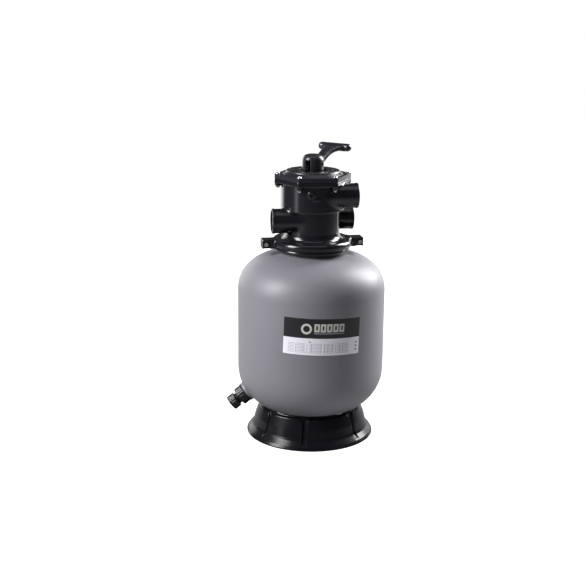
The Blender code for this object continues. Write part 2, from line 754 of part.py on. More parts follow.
def heel_curve(steps=8):
    """Underside of the handle's cam: each degree pressed lowers it by the same amount.

    Past the last point the cam runs on straight, at the slope of the full press.
    """
    rest = PIN_Z - HUB_BOTTOM_Z
    rate = PRESS_LIFT / PRESS_ANGLE
    points = []
    for i in range(steps + 1):
        turn = PRESS_ANGLE * i / steps
        reach = rest + rate * turn
        u = reach * math.sin(turn) + rate * math.cos(turn)
        z = -reach * math.cos(turn) + rate * math.sin(turn)
        points.append((u, z))
    return points


def arm_section(mesh, u, z, half_width, half_height, slope):
    """One rounded-rectangle section of the handle's arm."""
    points = []
    count, power = 16, 0.45
    for i in range(count):
        angle = 2 * math.pi * i / count
        c, s = math.cos(angle), math.sin(angle)
        across = half_width * math.copysign(abs(c) ** power, c)
        up = half_height * math.copysign(abs(s) ** power, s)
        point = (u - up * math.sin(slope), across, z + up * math.cos(slope))
        points.append(mesh.verts.new(point))
    return points


def handle_arm():
    """Curved arm that rises out of the hub and widens into the grip."""
    stations = [
        (0.006, -0.0010, 0.0115, 0.0090),
        (0.018, 0.0010, 0.0115, 0.0088),
        (0.030, 0.0060, 0.0115, 0.0083),
        (0.045, 0.0140, 0.0125, 0.0074),
        (0.060, 0.0212, 0.0145, 0.0066),
        (0.075, 0.0260, 0.0185, 0.0062),
        (0.089, 0.0281, 0.0240, 0.0060),
        (0.101, 0.0285, 0.0300, 0.0058),
    ]
    mesh = bmesh.new()
    rings = []
    for i, (u, z, half_width, half_height) in enumerate(stations):
        before = stations[max(i - 1, 0)]
        after = stations[min(i + 1, len(stations) - 1)]
        slope = math.atan2(after[1] - before[1], after[0] - before[0])
        rings.append(arm_section(mesh, u, z, half_width, half_height, slope))
    for first, second in zip(rings, rings[1:]):
        join_rings(mesh, first, second)
    mesh.faces.new(rings[0])
    mesh.faces.new(rings[-1])
    return add_object("arm", mesh)


def handle_grip():
    """Rounded cross bar at the end of the arm."""
    depth, half_length, height = GRIP_HALF
    mesh = bmesh.new()
    rings = []
    steps, count = 12, 12
    for i in range(steps + 1):
        turn = math.pi * i / steps
        across = -half_length * math.copysign(abs(math.cos(turn)) ** 0.55, math.cos(turn))
        size = math.sin(turn) ** 0.38
        if i in (0, steps):
            rings.append([mesh.verts.new((0.0, across, 0.0))])
            continue
        loop = []
        for k in range(count):
            angle = 2 * math.pi * k / count
            c, s = math.cos(angle), math.sin(angle)
            u = depth * size * math.copysign(abs(c) ** 0.8, c)
            z = height * size * math.copysign(abs(s) ** 0.8, s)
            loop.append(mesh.verts.new((u, across, z)))
        rings.append(loop)
    for first, second in zip(rings, rings[1:]):
        join_rings(mesh, first, second)
    grip = add_object("grip", mesh)
    grip.location = (GRIP_REACH, 0, GRIP_Z - PIN_Z)
    return grip


def handle():
    """Lever with a slotted hub, cam heel, arm and cross grip; its origin is the pin."""
    low, high = HUB_BOTTOM_Z - PIN_Z, HUB_TOP_Z - PIN_Z
    hub_profile = solid_profile(
        (HUB_RADIUS, low),
        (HUB_RADIUS, high - 0.012),
        (HUB_RADIUS - 0.0015, high - 0.0065),
        (HUB_RADIUS - 0.0050, high - 0.0022),
        (HUB_RADIUS - 0.0105, high),
    )
    lever = revolve("handle", hub_profile, 36)
    fuse(lever, handle_arm())
    fuse(lever, handle_grip())
    half = HUB_SLOT / 2
    cut(lever, box("slot", (-0.04, -half, low - 0.01), (0.0172, half, 0.0100)))
    below = heel_curve()
    last_u, last_z = below[-1]
    toe = (0.04, last_z + (0.04 - last_u) * math.tan(PRESS_ANGLE))
    outline = [(below[0][0], low - 0.02), *below, toe, (toe[0], low - 0.02)]
    heel = prism("heel", outline, -0.04, 0.04)
    heel.rotation_euler.x = math.pi / 2
    cut(lever, heel)
    hole = cylinder("hole", PIN_RADIUS + 0.0002, -0.03, 0.03, 16)
    aim(hole, (0, 0, 0), (0, 1, 0))
    cut(lever, hole)
    lever.location = (0, 0, PIN_Z)
    lever.rotation_euler.z = ARM_ANGLE
    paint(lever, BLACK)
    pin = cylinder("handle_pin", PIN_RADIUS, -0.0225, 0.0225, 16, STEEL)
    aim(pin, (0, 0, PIN_Z), (-math.sin(ARM_ANGLE), math.cos(ARM_ANGLE), 0))


def clamp_half(name, side):
    """Half of the band clamp, with an ear at each end; side -1 is the front half."""
    profile = [
        (0.0780, CLAMP_LOW_Z),
        (0.0865, CLAMP_LOW_Z),
        (0.0890, 0.4545),
        (0.0895, 0.4580),
        (0.0882, 0.4612),
        (0.0915, 0.4633),
        (0.0940, 0.4665),
        (CLAMP_RADIUS, 0.4708),
        (0.0940, 0.4750),
        (0.0915, 0.4783),
        (0.0878, 0.4805),
        (0.0862, 0.4845),
        (0.0835, CLAMP_HIGH_Z),
        (0.0790, CLAMP_HIGH_Z),
        (0.0790, VALVE_FLANGE_TOP_Z + GAP),
        (0.0845, VALVE_FLANGE_TOP_Z + GAP),
        (0.0845, NECK_FLANGE_Z - GAP),
        (0.0780, NECK_FLANGE_Z - GAP),
    ]
    band = revolve(name, profile, 40)
    for end in (-1, 1):
        xs = sorted((end * 0.0860, end * EAR_END_X))
        fuse(band, box("ear", (xs[0], -EAR_DEPTH, EAR_LOW_Z), (xs[1], EAR_DEPTH, EAR_HIGH_Z)))
        xs = sorted((end * 0.1030, end * (EAR_END_X - 0.0022)))
        ys = sorted((side * 0.0090, side * 0.03))
        pocket = box("pocket", (xs[0], ys[0], EAR_LOW_Z - 0.01), (xs[1], ys[1], EAR_HIGH_Z - 0.0035))
        cut(band, pocket)
        hole = cylinder("hole", 0.0033, -0.04, 0.04, 16)
        aim(hole, (end * CLAMP_BOLT_X, 0, CLAMP_BOLT_Z), (0, 1, 0))
        cut(band, hole)
    ys = sorted((-side * 0.2, side * CLAMP_SPLIT))
    cut(band, box("other_half", (-0.2, ys[0], 0.4), (0.2, ys[1], 0.55)))
    paint(band, BLACK)


def clamp_fixings():
    """A socket-head bolt and a nut through each pair of ears."""
    for name, end in (("left", -1), ("right", 1)):
        seat = 0.0090 + GAP
        profile = solid_profile(
            (0.0030, -0.0160),
            (0.0030, seat),
            (0.0052, seat),
            (0.0052, seat + 0.0052),
            (0.0046, seat + 0.0060),
        )
        bolt = revolve(f"clamp_bolt_{name}", profile, 18)
        key = arc_points(0.0029, 0, 2 * math.pi * 5 / 6, 5)
        socket = prism("socket", key, seat + 0.0025, 0.03)
        cut(bolt, socket)
        aim(bolt, (end * CLAMP_BOLT_X, 0, CLAMP_BOLT_Z), (0, -1, 0))
        paint(bolt, STEEL)
        outline = arc_points(0.0057, 0, 2 * math.pi * 5 / 6, 5)
        nut = prism(f"clamp_nut_{name}", outline, seat, seat + 0.005)
        cut(nut, cylinder("hole", 0.0033, 0, 0.03, 10))
        aim(nut, (end * CLAMP_BOLT_X, 0, CLAMP_BOLT_Z), (0, 1, 0))
        paint(nut, STEEL)


def pipework():
    """Standpipe, top diffuser and the hub with its slotted laterals."""
    low, high = LATERAL_Z + 0.002, SOCKET_TOP_Z - GAP
    ring("standpipe", PIPE_BORE, PIPE_RADIUS, low, high, 28, WHITE_PLASTIC)
    diffuser = [
        (PIPE_RADIUS + GAP, 0.4180),
        (0.0300, 0.4180),
        (0.0600, 0.4240),
        (0.0610, 0.4265),
        (0.0300, 0.4225),
        (0.0290, 0.4420),
        (PIPE_RADIUS + GAP, 0.4420),
    ]
    revolve("top_diffuser", diffuser, 28, GREY_PLASTIC)
    foot = TANK_BOTTOM_Z + TANK_WALL + 0.0006
    hub = [
        (0.0, foot),
        (0.0200, foot),
        (0.0130, foot + 0.006),
        (0.0130, LATERAL_Z - 0.018),
        (0.0345, LATERAL_Z - 0.013),
        (0.0345, LATERAL_Z + 0.013),
        (0.0300, LATERAL_Z + 0.018),
        (PIPE_RADIUS + GAP, LATERAL_Z + 0.018),
        (PIPE_RADIUS + GAP, low - GAP),
        (PIPE_BORE, low - GAP),
        (PIPE_BORE, LATERAL_Z - 0.008),
        (0.0, LATERAL_Z - 0.008),
    ]
    revolve("lateral_hub", hub, 24, GREY_PLASTIC)
    for i in range(LATERALS):
        tube = revolve(f"lateral_{i + 1}", lateral_profile(), 8, WHITE_PLASTIC)
        angle = 2 * math.pi * (i + 0.5) / LATERALS
        aim(tube, (0, 0, LATERAL_Z), (math.cos(angle), math.sin(angle), 0))


def lateral_profile():
    """Closed-ended tube with ring slots along it."""
    start = 0.0345 + GAP
    points = [(0.0070, start), (0.0070, LATERAL_END - 0.002), (0.0, LATERAL_END - 0.002)]
    points += [(0.0, LATERAL_END), (LATERAL_RADIUS, LATERAL_END)]
    slots = 3
    pitch = (LATERAL_END - start - 0.016) / slots
    for i in range(slots):
        outer_end = LATERAL_END - 0.008 - i * pitch
        points += [
            (LATERAL_RADIUS, outer_end),
            (LATERAL_RADIUS - 0.0015, outer_end - 0.0015),
            (LATERAL_RADIUS, outer_end - 0.0030),
        ]
    points.append((LATERAL_RADIUS, start))
    return points


def finish_all():
    """Smooth the round faces, turn the clamp and stand the filter on the origin."""
    bpy.context.view_layer.update()
    for obj in bpy.data.objects:
        if obj.name.startswith("clamp_"):
            obj.matrix_world = Matrix.Rotation(CLAMP_TURN, 4, "Z") @ obj.matrix_world
        obj.data.shade_smooth()
        obj.data.set_sharp_from_angle(angle=SMOOTH_ANGLE)
        obj.location.x += TANK_AXIS_X
    bpy.context.view_layer.update()


def main():
    for obj in list(bpy.data.objects):
        bpy.data.objects.remove(obj)
    tank_shell()
    base_skirt()
    rating_label()
    drain()
    valve_body()
    gauge_plug()
    spider_gasket()
    rotor()
    spring()
    lid()
    seals_and_washers()
    lid_fixings()
    handle()
    clamp_half("clamp_front", -1)
    clamp_half("clamp_back", 1)
    clamp_fixings()
    pipework()
    finish_all()


main()
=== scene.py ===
"""Looks of the sand filter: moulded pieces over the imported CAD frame, materials, camera and light.

Metres, +Z up.  Places come from the frame's own boxes; what is typed here is only shape detail
that the CAD leaves out.  Most pieces are built about the tank's axis (x = 0) and moved once.
"""

import json
import math

import bmesh
import bpy
import numpy as np
from mathutils import Matrix, Vector

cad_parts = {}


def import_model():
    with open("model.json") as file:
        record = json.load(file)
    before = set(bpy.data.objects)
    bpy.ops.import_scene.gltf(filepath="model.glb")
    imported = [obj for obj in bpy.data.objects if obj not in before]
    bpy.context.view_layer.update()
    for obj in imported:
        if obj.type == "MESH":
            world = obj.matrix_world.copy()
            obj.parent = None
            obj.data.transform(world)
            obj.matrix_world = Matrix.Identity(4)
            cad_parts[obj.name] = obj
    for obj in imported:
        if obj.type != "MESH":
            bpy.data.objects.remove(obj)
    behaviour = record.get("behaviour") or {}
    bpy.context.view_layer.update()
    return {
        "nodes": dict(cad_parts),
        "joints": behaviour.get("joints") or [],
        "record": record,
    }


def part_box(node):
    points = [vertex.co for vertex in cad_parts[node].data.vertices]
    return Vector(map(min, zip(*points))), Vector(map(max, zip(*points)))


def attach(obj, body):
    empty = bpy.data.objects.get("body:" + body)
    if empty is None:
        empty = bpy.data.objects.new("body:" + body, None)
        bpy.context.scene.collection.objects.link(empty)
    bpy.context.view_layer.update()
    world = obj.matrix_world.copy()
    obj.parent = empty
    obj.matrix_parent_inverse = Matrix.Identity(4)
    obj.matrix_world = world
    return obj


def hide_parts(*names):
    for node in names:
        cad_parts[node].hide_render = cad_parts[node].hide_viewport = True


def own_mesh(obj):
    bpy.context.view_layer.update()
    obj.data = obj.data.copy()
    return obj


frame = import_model()


def middle(node):
    low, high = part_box(node)
    return (low + high) / 2


def from_axis(node):
    """Middle of a node, counted from the tank's axis."""
    return middle(node) - Vector((AXIS_X, 0, 0))


JOINTS = {joint["name"]: joint for joint in frame["joints"]}

# Places read from the frame
AXIS_X = middle("standpipe").x
TANK_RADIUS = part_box("tank_shell")[1].y
TANK_LOW_Z, TANK_TOP_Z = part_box("tank_shell")[0].z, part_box("tank_shell")[1].z
SKIRT_TOP_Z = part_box("base_skirt")[1].z
SKIRT_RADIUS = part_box("base_skirt")[1].x - AXIS_X
LABEL_RADIUS = -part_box("rating_label")[0].y
VALVE_LOW, VALVE_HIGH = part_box("valve_body")
LID_SEAT_Z = VALVE_HIGH.z + 0.0003
DIAL_LOW, DIAL_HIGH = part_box("position_dial")
CLAMP_LOW, CLAMP_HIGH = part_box("clamp_front")
PIN = Vector(JOINTS["handle_press"]["pos_m"])
PIN_AXIS = Vector(JOINTS["handle_press"]["axis"])
ARM_ANGLE = math.atan2(-PIN_AXIS.x, PIN_AXIS.y)
HANDLE_LOW_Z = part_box("handle")[0].z
DRAIN_AXIS = Vector(JOINTS["drain_cap_turn"]["axis"])
DRAIN_POINT = Vector(JOINTS["drain_cap_turn"]["pos_m"])

# Tank
TANK_WALL_LOW_Z = 0.1733
TANK_WALL_HIGH_Z = 0.3572
TANK_CROWN_Z = 0.4466
CROWN_RADIUS = 0.049
BOTTOM_POWER = 2.2793
TOP_POWER = 2.2139
TANK_SEGMENTS = 288

# Skirt base
SKIRT_WEB_DEGREES = (-146.3, -103.5, -47.0, 5.1, 57.3, 109.4, 161.6)
SKIRT_WEB_HALF = 0.0050
SKIRT_RECESS = 0.0046
SKIRT_SIDE = 0.0024
SKIRT_CORNER = 0.009
SKIRT_PANEL_LOW_Z = 0.0105
SKIRT_PANEL_HIGH_Z = 0.0685

# Label, in metres along the arc from its middle and up from the floor
LABEL_CENTRE_ANGLE = math.radians(0.75)
LABEL_HALF_ANGLE = math.radians(29.8)
LABEL_SLANT = 0.035
LABEL_BOTTOM_Z = 0.2434
LABEL_TOP_Z = 0.3297
LABEL_SPLIT_Z = 0.2832
LABEL_MARK = (-0.0512, -0.0262, 0.2927, 0.3177)
LABEL_BLOCKS = (-0.0209, 0.0497, 0.2985, 0.3175)
LABEL_RULE = (-0.0209, 0.0497, 0.2940, 0.2960)
BLOCK_COUNT = 5
BLOCK_STROKE = 0.0042
BLOCK_SPACE = 0.0024
BLOCK_PITCH = (LABEL_BLOCKS[1] - LABEL_BLOCKS[0] + BLOCK_SPACE) / BLOCK_COUNT
LABEL_COLUMNS = (-0.062, -0.045, -0.036, -0.026, -0.004, 0.004, 0.012, 0.022, 0.030, 0.040, 0.048, 0.056)
LABEL_ROW_SPANS = (
    (-0.080, -0.066), (-0.060, -0.039), (-0.030, -0.002), (0.002, 0.026), (0.033, 0.064)
)
RING_INNER = 0.0076
RING_OUTER = 0.0124

# Valve
FLANGE_TOP_Z = 0.4785
HEX_CORNER_RADIUS = 0.0822
HEX_ROUNDING = 0.0078
HEX_CORNERS = [
    (HEX_CORNER_RADIUS * math.cos(math.pi / 3 * i), HEX_CORNER_RADIUS * math.sin(math.pi / 3 * i))
    for i in range(6)
]
HEX_LOW_Z = 0.6125
BOSS_LOW_Z = 0.6055
BODY_RADIUS = 0.075
NECK_RADIUS = 0.064
LEDGE_Z = 0.5503
CHAMBER_RADIUS = 0.066
CHAMBER_LOW_Z = 0.556
PORT_RADIUS = 0.02925
PORT_THREAD_RADIUS = 0.0235
PORT_BORE_RADIUS = 0.019
PORT_THREAD_DEPTH = 0.030
PORT_BORE_DEPTH = 0.056
THREAD_PITCH = 0.0032
THREAD_WAVE = 0.0005
PUMP_PORT = (0.0995, -0.040, 0.5865)
RETURN_PORT = (0.1035, 0.043, 0.520)
WASTE_PORT = (-0.0994, -0.027, 0.5265)

# Clamp; a bead is its height, its ring's radius and the radius of its round
CLAMP_TURN = math.radians(3.6)
CLAMP_BEADS = ((0.4578, 0.0836, 0.0055), (0.4712, 0.0850, 0.0099))
EAR_END_X = 0.121
EAR_LOW_Z = 0.4590
EAR_HIGH_Z = 0.4805
BOLT_HOLE_RADIUS = 0.0033

# Handle; the arm is given at stations along it, with its height counted from the pin
PRESS_ANGLE = math.radians(20)
PRESS_LIFT = 0.005
HUB_RADIUS = 0.0255
ARM_U = (0.006, 0.018, 0.030, 0.045, 0.060, 0.075, 0.089, 0.101)
ARM_Z = (-0.0010, 0.0010, 0.0060, 0.0140, 0.0211, 0.0255, 0.0272, 0.0274)
ARM_HALF_WIDTH = (0.0115, 0.0115, 0.0115, 0.0125, 0.0145, 0.0185, 0.0240, 0.0300)
ARM_CHAMFER = 0.0044
ARM_HALF_HEIGHT = (0.0090, 0.0088, 0.0083, 0.0074, 0.0066, 0.0062, 0.0060, 0.0058)

# Drain, along its axis from the tank's wall
DRAIN_CAP_MIDDLE = 0.0425
DRAIN_RIB_COUNT = 18
DRAIN_SEGMENTS = 324

# Camera, fitted to the tank's outline and the base's floor ellipse
CAMERA_DISTANCE = 2.70
CAMERA_HEIGHT = 1.0571
CAMERA_AZIMUTH = math.radians(-8.5)
CAMERA_PITCH = math.radians(14.796)
CAMERA_YAW = math.radians(-0.927)
CAMERA_ROLL = math.radians(0.579)
CAMERA_LENS = 71.72


# ---- mesh helpers


def new_object(name, data):
    obj = bpy.data.objects.new(name, data)
    bpy.context.scene.collection.objects.link(obj)
    return obj


def smooth_object(name, data, sharp):
    """Object with smooth faces, and sharp edges above an angle in degrees."""
    data.shade_smooth()
    data.set_sharp_from_angle(angle=math.radians(sharp))
    return new_object(name, data)


def mesh_data(name, mesh):
    """Mesh data from a bmesh, which is freed."""
    data = bpy.data.meshes.new(name)
    mesh.to_mesh(data)
    mesh.free()
    return data


def add_mesh(name, mesh, sharp=35):
    """Turn a bmesh into an object with its faces out."""
    bmesh.ops.recalc_face_normals(mesh, faces=mesh.faces)
    return smooth_object(name, mesh_data(name, mesh), sharp)


def join_rings(mesh, first, second):
    """Faces between two rings of vertices; either may be a single point."""
    count = max(len(first), len(second))
    if count == 1:
        return
    for i in range(count):
        j = (i + 1) % count
        if len(first) == 1:
            mesh.faces.new((first[0], second[i], second[j]))
        elif len(second) == 1:
            mesh.faces.new((first[i], second[0], first[j]))
        else:
            mesh.faces.new((first[i], second[i], second[j], first[j]))


def add_rings(mesh, rings, closed):
    """Faces through a list of vertex rings, back to the first one when closed."""
    following = rings[1:] + rings[:1] if closed else rings[1:]
    for first, second in zip(rings, following):
        join_rings(mesh, first, second)


def revolve(name, profile, segments=96, shape=None, sharp=35):
    """Turn a closed (radius, height) loop about Z; shape(angle, r, z) may change the radius."""
    mesh = bmesh.new()
    rings = []
    for r, z in profile:
        if r == 0.0:
            rings.append([mesh.verts.new((0.0, 0.0, z))])
            continue
        ring = []
        for i in range(segments):
            angle = 2 * math.pi * i / segments
            radius = shape(angle, r, z) if shape else r
            ring.append(mesh.verts.new((radius * math.cos(angle), radius * math.sin(angle), z)))
        rings.append(ring)
    add_rings(mesh, rings, True)
    return add_mesh(name, mesh, sharp)


def rounded(points, radii, steps=6):
    """Open chain of (r, z) points with each inner corner rounded by its own radius."""
    chain = [points[0]]
    for i in range(1, len(points) - 1):
        before, corner, after = (Vector(points[j]) for j in (i - 1, i, i + 1))
        radius = radii[i - 1]
        to_before, to_after = (before - corner).normalized(), (after - corner).normalized()
        opening = to_before.angle(to_after)
        if radius == 0.0 or opening > math.radians(178):
            chain.append(tuple(corner))
            continue
        reach = radius / math.tan(opening / 2)
        reach = min(reach, 0.49 * (before - corner).length, 0.49 * (after - corner).length)
        start, end = corner + to_before * reach, corner + to_after * reach
        for k in range(steps + 1):
            t = k / steps
            chain.append(tuple((1 - t) ** 2 * start + 2 * t * (1 - t) * corner + t**2 * end))
    chain.append(points[-1])
    return chain


def solid_profile(points, radii, steps=6):
    """Loop of a solid of revolution whose outside is the rounded chain of points."""
    return rounded([(0.0, points[0][1]), *points, (0.0, points[-1][1])], radii, steps)


def prism(name, outline, low, high, bevel=0.0):
    """Extrusion along Z of a closed (x, y) outline, with rounded long edges."""
    mesh = bmesh.new()
    bottom = [mesh.verts.new((x, y, low)) for x, y in outline]
    top = [mesh.verts.new((x, y, high)) for x, y in outline]
    add_rings(mesh, [bottom, top], False)
    caps = [mesh.faces.new(bottom), mesh.faces.new(top)]
    if bevel:
        edges = list({edge for face in caps for edge in face.edges})
        bmesh.ops.bevel(mesh, geom=edges, offset=bevel, segments=3, profile=0.5, affect="EDGES")
    return add_mesh(name, mesh)


def arc(radius, start, end, steps, centre=(0.0, 0.0)):
    """Points along a circular arc, both ends included; angles in degrees."""
    points = []
    for i in range(steps + 1):
        angle = math.radians(start + (end - start) * i / steps)
        points.append((centre[0] + radius * math.cos(angle), centre[1] + radius * math.sin(angle)))
    return points


def hexagon(radius, turn=0):
    return arc(radius, turn, turn + 300, 5)


def place(obj, matrix):
    obj.data.transform(matrix)
    return obj


def along(direction, origin):
    """Matrix that stands a piece built about Z at an origin, facing along a direction."""
    turn = Vector((0, 0, 1)).rotation_difference(Vector(direction).normalized())
    return Matrix.Translation(Vector(origin)) @ turn.to_matrix().to_4x4()


def join(name, parts):
    """Join several meshes into one object."""
    mesh = bmesh.new()
    for part in parts:
        mesh.from_mesh(part.data)
        bpy.data.objects.remove(part)
    return new_object(name, mesh_data(name, mesh))


# ---- moulded shapes


def blend_in(a, b, width):
    """Union of two distance fields with a fillet."""
    h = np.clip(0.5 + 0.5 * (b - a) / width, 0, 1)
    return b + (a - b) * h - width * h * (1 - h)


def blend_cut(a, b, width):
    """First field without the second, with a rounded edge."""
    return -blend_in(-a, b, width)


def box_field(dx, dy, dz, half, rounding):
    """Rounded box, from the distances to its centre along each axis."""
    qx, qy, qz = (np.abs(d) - (h - rounding) for d, h in zip((dx, dy, dz), half))
    outside = np.sqrt(np.maximum(qx, 0) ** 2 + np.maximum(qy, 0) ** 2 + np.maximum(qz, 0) ** 2)
    return outside + np.minimum(np.maximum(np.maximum(qx, qy), qz), 0) - rounding


def puck_field(distance, along_axis, radius, low, high, rounding):
    """Rounded cylinder, from the distance to its axis and the position along it."""
    d = distance - (radius - rounding)
    e = np.abs(along_axis - (low + high) / 2) - ((high - low) / 2 - rounding)
    outside = np.sqrt(np.maximum(d, 0) ** 2 + np.maximum(e, 0) ** 2)
    return outside + np.minimum(np.maximum(d, e), 0) - rounding


def hexagon_field(x, y, z, corner_radius, rounding, low, high, edge):
    """Hexagonal plate with rounded corners, one corner on +X."""
    kx, ky, kz = -math.sqrt(3) / 2, 0.5, 1 / math.sqrt(3)
    apothem = corner_radius * math.cos(math.pi / 6)
    px, py = np.abs(x), np.abs(y)
    fold = 2 * np.minimum(kx * px + ky * py, 0)
    px, py = px - fold * kx, py - fold * ky
    px = px - np.clip(px, -kz * apothem, kz * apothem)
    py = py - apothem
    flat = np.sqrt(px**2 + py**2) * np.sign(py) - rounding + edge
    height = np.abs(z - (low + high) / 2) - ((high - low) / 2 - edge)
    outside = np.sqrt(np.maximum(flat, 0) ** 2 + np.maximum(height, 0) ** 2)
    return outside + np.minimum(np.maximum(flat, height), 0) - edge


def surface_of(name, field, low, high, step, sharp=40):
    """Closed mesh of a distance field's zero surface inside a box.

    One vertex per grid cell that the surface crosses, walked onto the surface along the
    field's gradient, so that fillets and curved walls come out smooth.
    """
    axes = [np.arange(a - 2 * step, b + 2.5 * step, step) for a, b in zip(low, high)]
    solid = field(*np.meshgrid(*(a.astype(np.float32) for a in axes), indexing="ij")) < 0
    corners = np.zeros([n - 1 for n in solid.shape], np.int8)
    for i in (0, 1):
        for j in (0, 1):
            for k in (0, 1):
                window = (slice(at, at + n) for at, n in zip((i, j, k), corners.shape))
                corners += solid[tuple(window)]
    mixed = (corners > 0) & (corners < 8)
    cells = np.argwhere(mixed)
    index = np.full(mixed.shape, -1)
    index[mixed] = np.arange(len(cells))
    points = [axes[i][cells[:, i]] + step / 2 for i in range(3)]
    nudge = step * 0.05
    for _ in range(4):
        value = field(*points)
        slope = []
        for i in range(3):
            ahead = [p + nudge if j == i else p for j, p in enumerate(points)]
            behind = [p - nudge if j == i else p for j, p in enumerate(points)]
            slope.append((field(*ahead) - field(*behind)) / (2 * nudge))
        steepness = np.maximum(sum(s**2 for s in slope), 0.05)
        move = np.clip(value / steepness, -step, step)
        points = [p - move * s for p, s in zip(points, slope)]
    faces = []
    for axis in range(3):
        u, v = (axis + 1) % 3, (axis + 2) % 3
        first = np.moveaxis(solid, (axis, u, v), (0, 1, 2))
        at = np.moveaxis(index, (axis, u, v), (0, 1, 2))
        here, there = first[:-1, 1:-1, 1:-1], first[1:, 1:-1, 1:-1]
        around = [at[:, :-1, :-1], at[:, 1:, :-1], at[:, 1:, 1:], at[:, :-1, 1:]]
        for crossing, order in ((here & ~there, (0, 1, 2, 3)), (there & ~here, (3, 2, 1, 0))):
            faces.append(np.stack([around[k][crossing] for k in order], axis=1))
    faces = np.concatenate(faces)
    data = bpy.data.meshes.new(name)
    data.from_pydata(np.stack(points, axis=1).tolist(), [], faces.tolist())
    return smooth_object(name, data, sharp)


# ---- materials


class Recipe:
    """Short way to write a node material: each method adds one node and returns its output."""

    def __init__(self, name):
        self.material = bpy.data.materials.new(name)
        self.material.use_nodes = True
        self.tree = self.material.node_tree
        self.shader = self.tree.nodes["Principled BSDF"]
        coordinates = self.tree.nodes.new("ShaderNodeTexCoord")
        self.place = coordinates.outputs["Object"]

    def put(self, socket, value):
        if isinstance(value, bpy.types.NodeSocket):
            self.tree.links.new(value, socket)
        elif isinstance(value, tuple) and len(value) == 3:
            socket.default_value = (*value, 1.0) if len(socket.default_value) == 4 else value
        else:
            socket.default_value = value

    def set(self, **values):
        for name, value in values.items():
            self.put(self.shader.inputs[name.replace("_", " ")], value)

    def noise(self, scale, detail=3.0, stretch=None):
        where = self.place
        if stretch:
            mapping = self.tree.nodes.new("ShaderNodeMapping")
            mapping.inputs["Scale"].default_value = stretch
            self.put(mapping.inputs["Vector"], where)
            where = mapping.outputs["Vector"]
        node = self.tree.nodes.new("ShaderNodeTexNoise")
        node.inputs["Scale"].default_value = scale
        node.inputs["Detail"].default_value = detail
        self.put(node.inputs["Vector"], where)
        return node.outputs["Fac"]

    def ramp(self, value, low, high, start=0.3, end=0.7):
        """Map a 0..1 value onto a range of numbers."""
        node = self.tree.nodes.new("ShaderNodeMapRange")
        for socket, number in zip(("From Min", "From Max", "To Min", "To Max"), (start, end, low, high)):
            node.inputs[socket].default_value = number
        self.put(node.inputs["Value"], value)
        return node.outputs["Result"]

    def mix(self, factor, first, second):
        node = self.tree.nodes.new("ShaderNodeMix")
        node.data_type = "RGBA"
        self.put(node.inputs[0], factor)
        self.put(node.inputs[6], first)
        self.put(node.inputs[7], second)
        return node.outputs[2]

    def bump(self, height, distance, strength=1.0):
        node = self.tree.nodes.new("ShaderNodeBump")
        node.inputs["Distance"].default_value = distance
        node.inputs["Strength"].default_value = strength
        self.put(node.inputs["Height"], height)
        self.put(self.shader.inputs["Normal"], node.outputs["Normal"])


def moulded_black(name, colour, roughness, sheen_spread=0.06, gloss=0.5):
    """Injection-moulded black plastic: glossy, a little uneven, faintly dusty."""
    recipe = Recipe(name)
    broad, fine = recipe.noise(9.0, 2.0), recipe.noise(420.0, 2.0)
    lighter = tuple(c * 1.35 + 0.002 for c in colour)
    recipe.set(
        Base_Color=recipe.mix(broad, colour, lighter),
        Roughness=recipe.ramp(broad, roughness, roughness + sheen_spread),
        IOR=1.5,
        Specular_IOR_Level=gloss,
    )
    recipe.bump(fine, 0.00006, 0.35)
    return recipe.material


def tank_grey(name):
    """Roto-moulded grey shell: satin, finely grained, slightly mottled."""
    recipe = Recipe(name)
    broad, grain = recipe.noise(6.0, 3.0), recipe.noise(900.0, 2.0)
    recipe.set(
        Base_Color=recipe.mix(broad, (0.180, 0.177, 0.200), (0.192, 0.189, 0.212)),
        Roughness=recipe.ramp(broad, 0.42, 0.50),
        IOR=1.48,
    )
    recipe.bump(grain, 0.00012, 0.30)
    return recipe.material


def plain_plastic(name, colour, roughness=0.4):
    recipe = Recipe(name)
    broad, fine = recipe.noise(14.0, 2.0), recipe.noise(500.0, 2.0)
    darker = tuple(c * 0.88 for c in colour)
    recipe.set(
        Base_Color=recipe.mix(broad, darker, colour),
        Roughness=recipe.ramp(fine, roughness - 0.05, roughness + 0.06),
    )
    recipe.bump(fine, 0.00005, 0.3)
    return recipe.material


def rubber(name):
    recipe = Recipe(name)
    grain = recipe.noise(700.0, 3.0)
    recipe.set(
        Base_Color=recipe.mix(grain, (0.012, 0.012, 0.012), (0.022, 0.022, 0.023)),
        Roughness=recipe.ramp(grain, 0.72, 0.88),
    )
    recipe.bump(grain, 0.00008, 0.5)
    return recipe.material


def stainless(name):
    """Turned and rolled stainless steel with fine circular marks."""
    recipe = Recipe(name)
    brushed = recipe.noise(160.0, 2.0, stretch=(1.0, 1.0, 14.0))
    recipe.set(
        Base_Color=recipe.mix(brushed, (0.60, 0.60, 0.61), (0.74, 0.74, 0.75)),
        Roughness=recipe.ramp(brushed, 0.20, 0.34),
        Metallic=1.0,
    )
    recipe.bump(brushed, 0.00003, 0.3)
    return recipe.material


def printed(name, colour, roughness=0.32):
    """One ink or ground of a printed film."""
    recipe = Recipe(name)
    broad, fine = recipe.noise(30.0, 2.0), recipe.noise(600.0, 2.0)
    recipe.set(
        Base_Color=recipe.mix(broad, tuple(c * 0.94 for c in colour), colour),
        Roughness=recipe.ramp(fine, roughness, roughness + 0.08),
    )
    return recipe.material


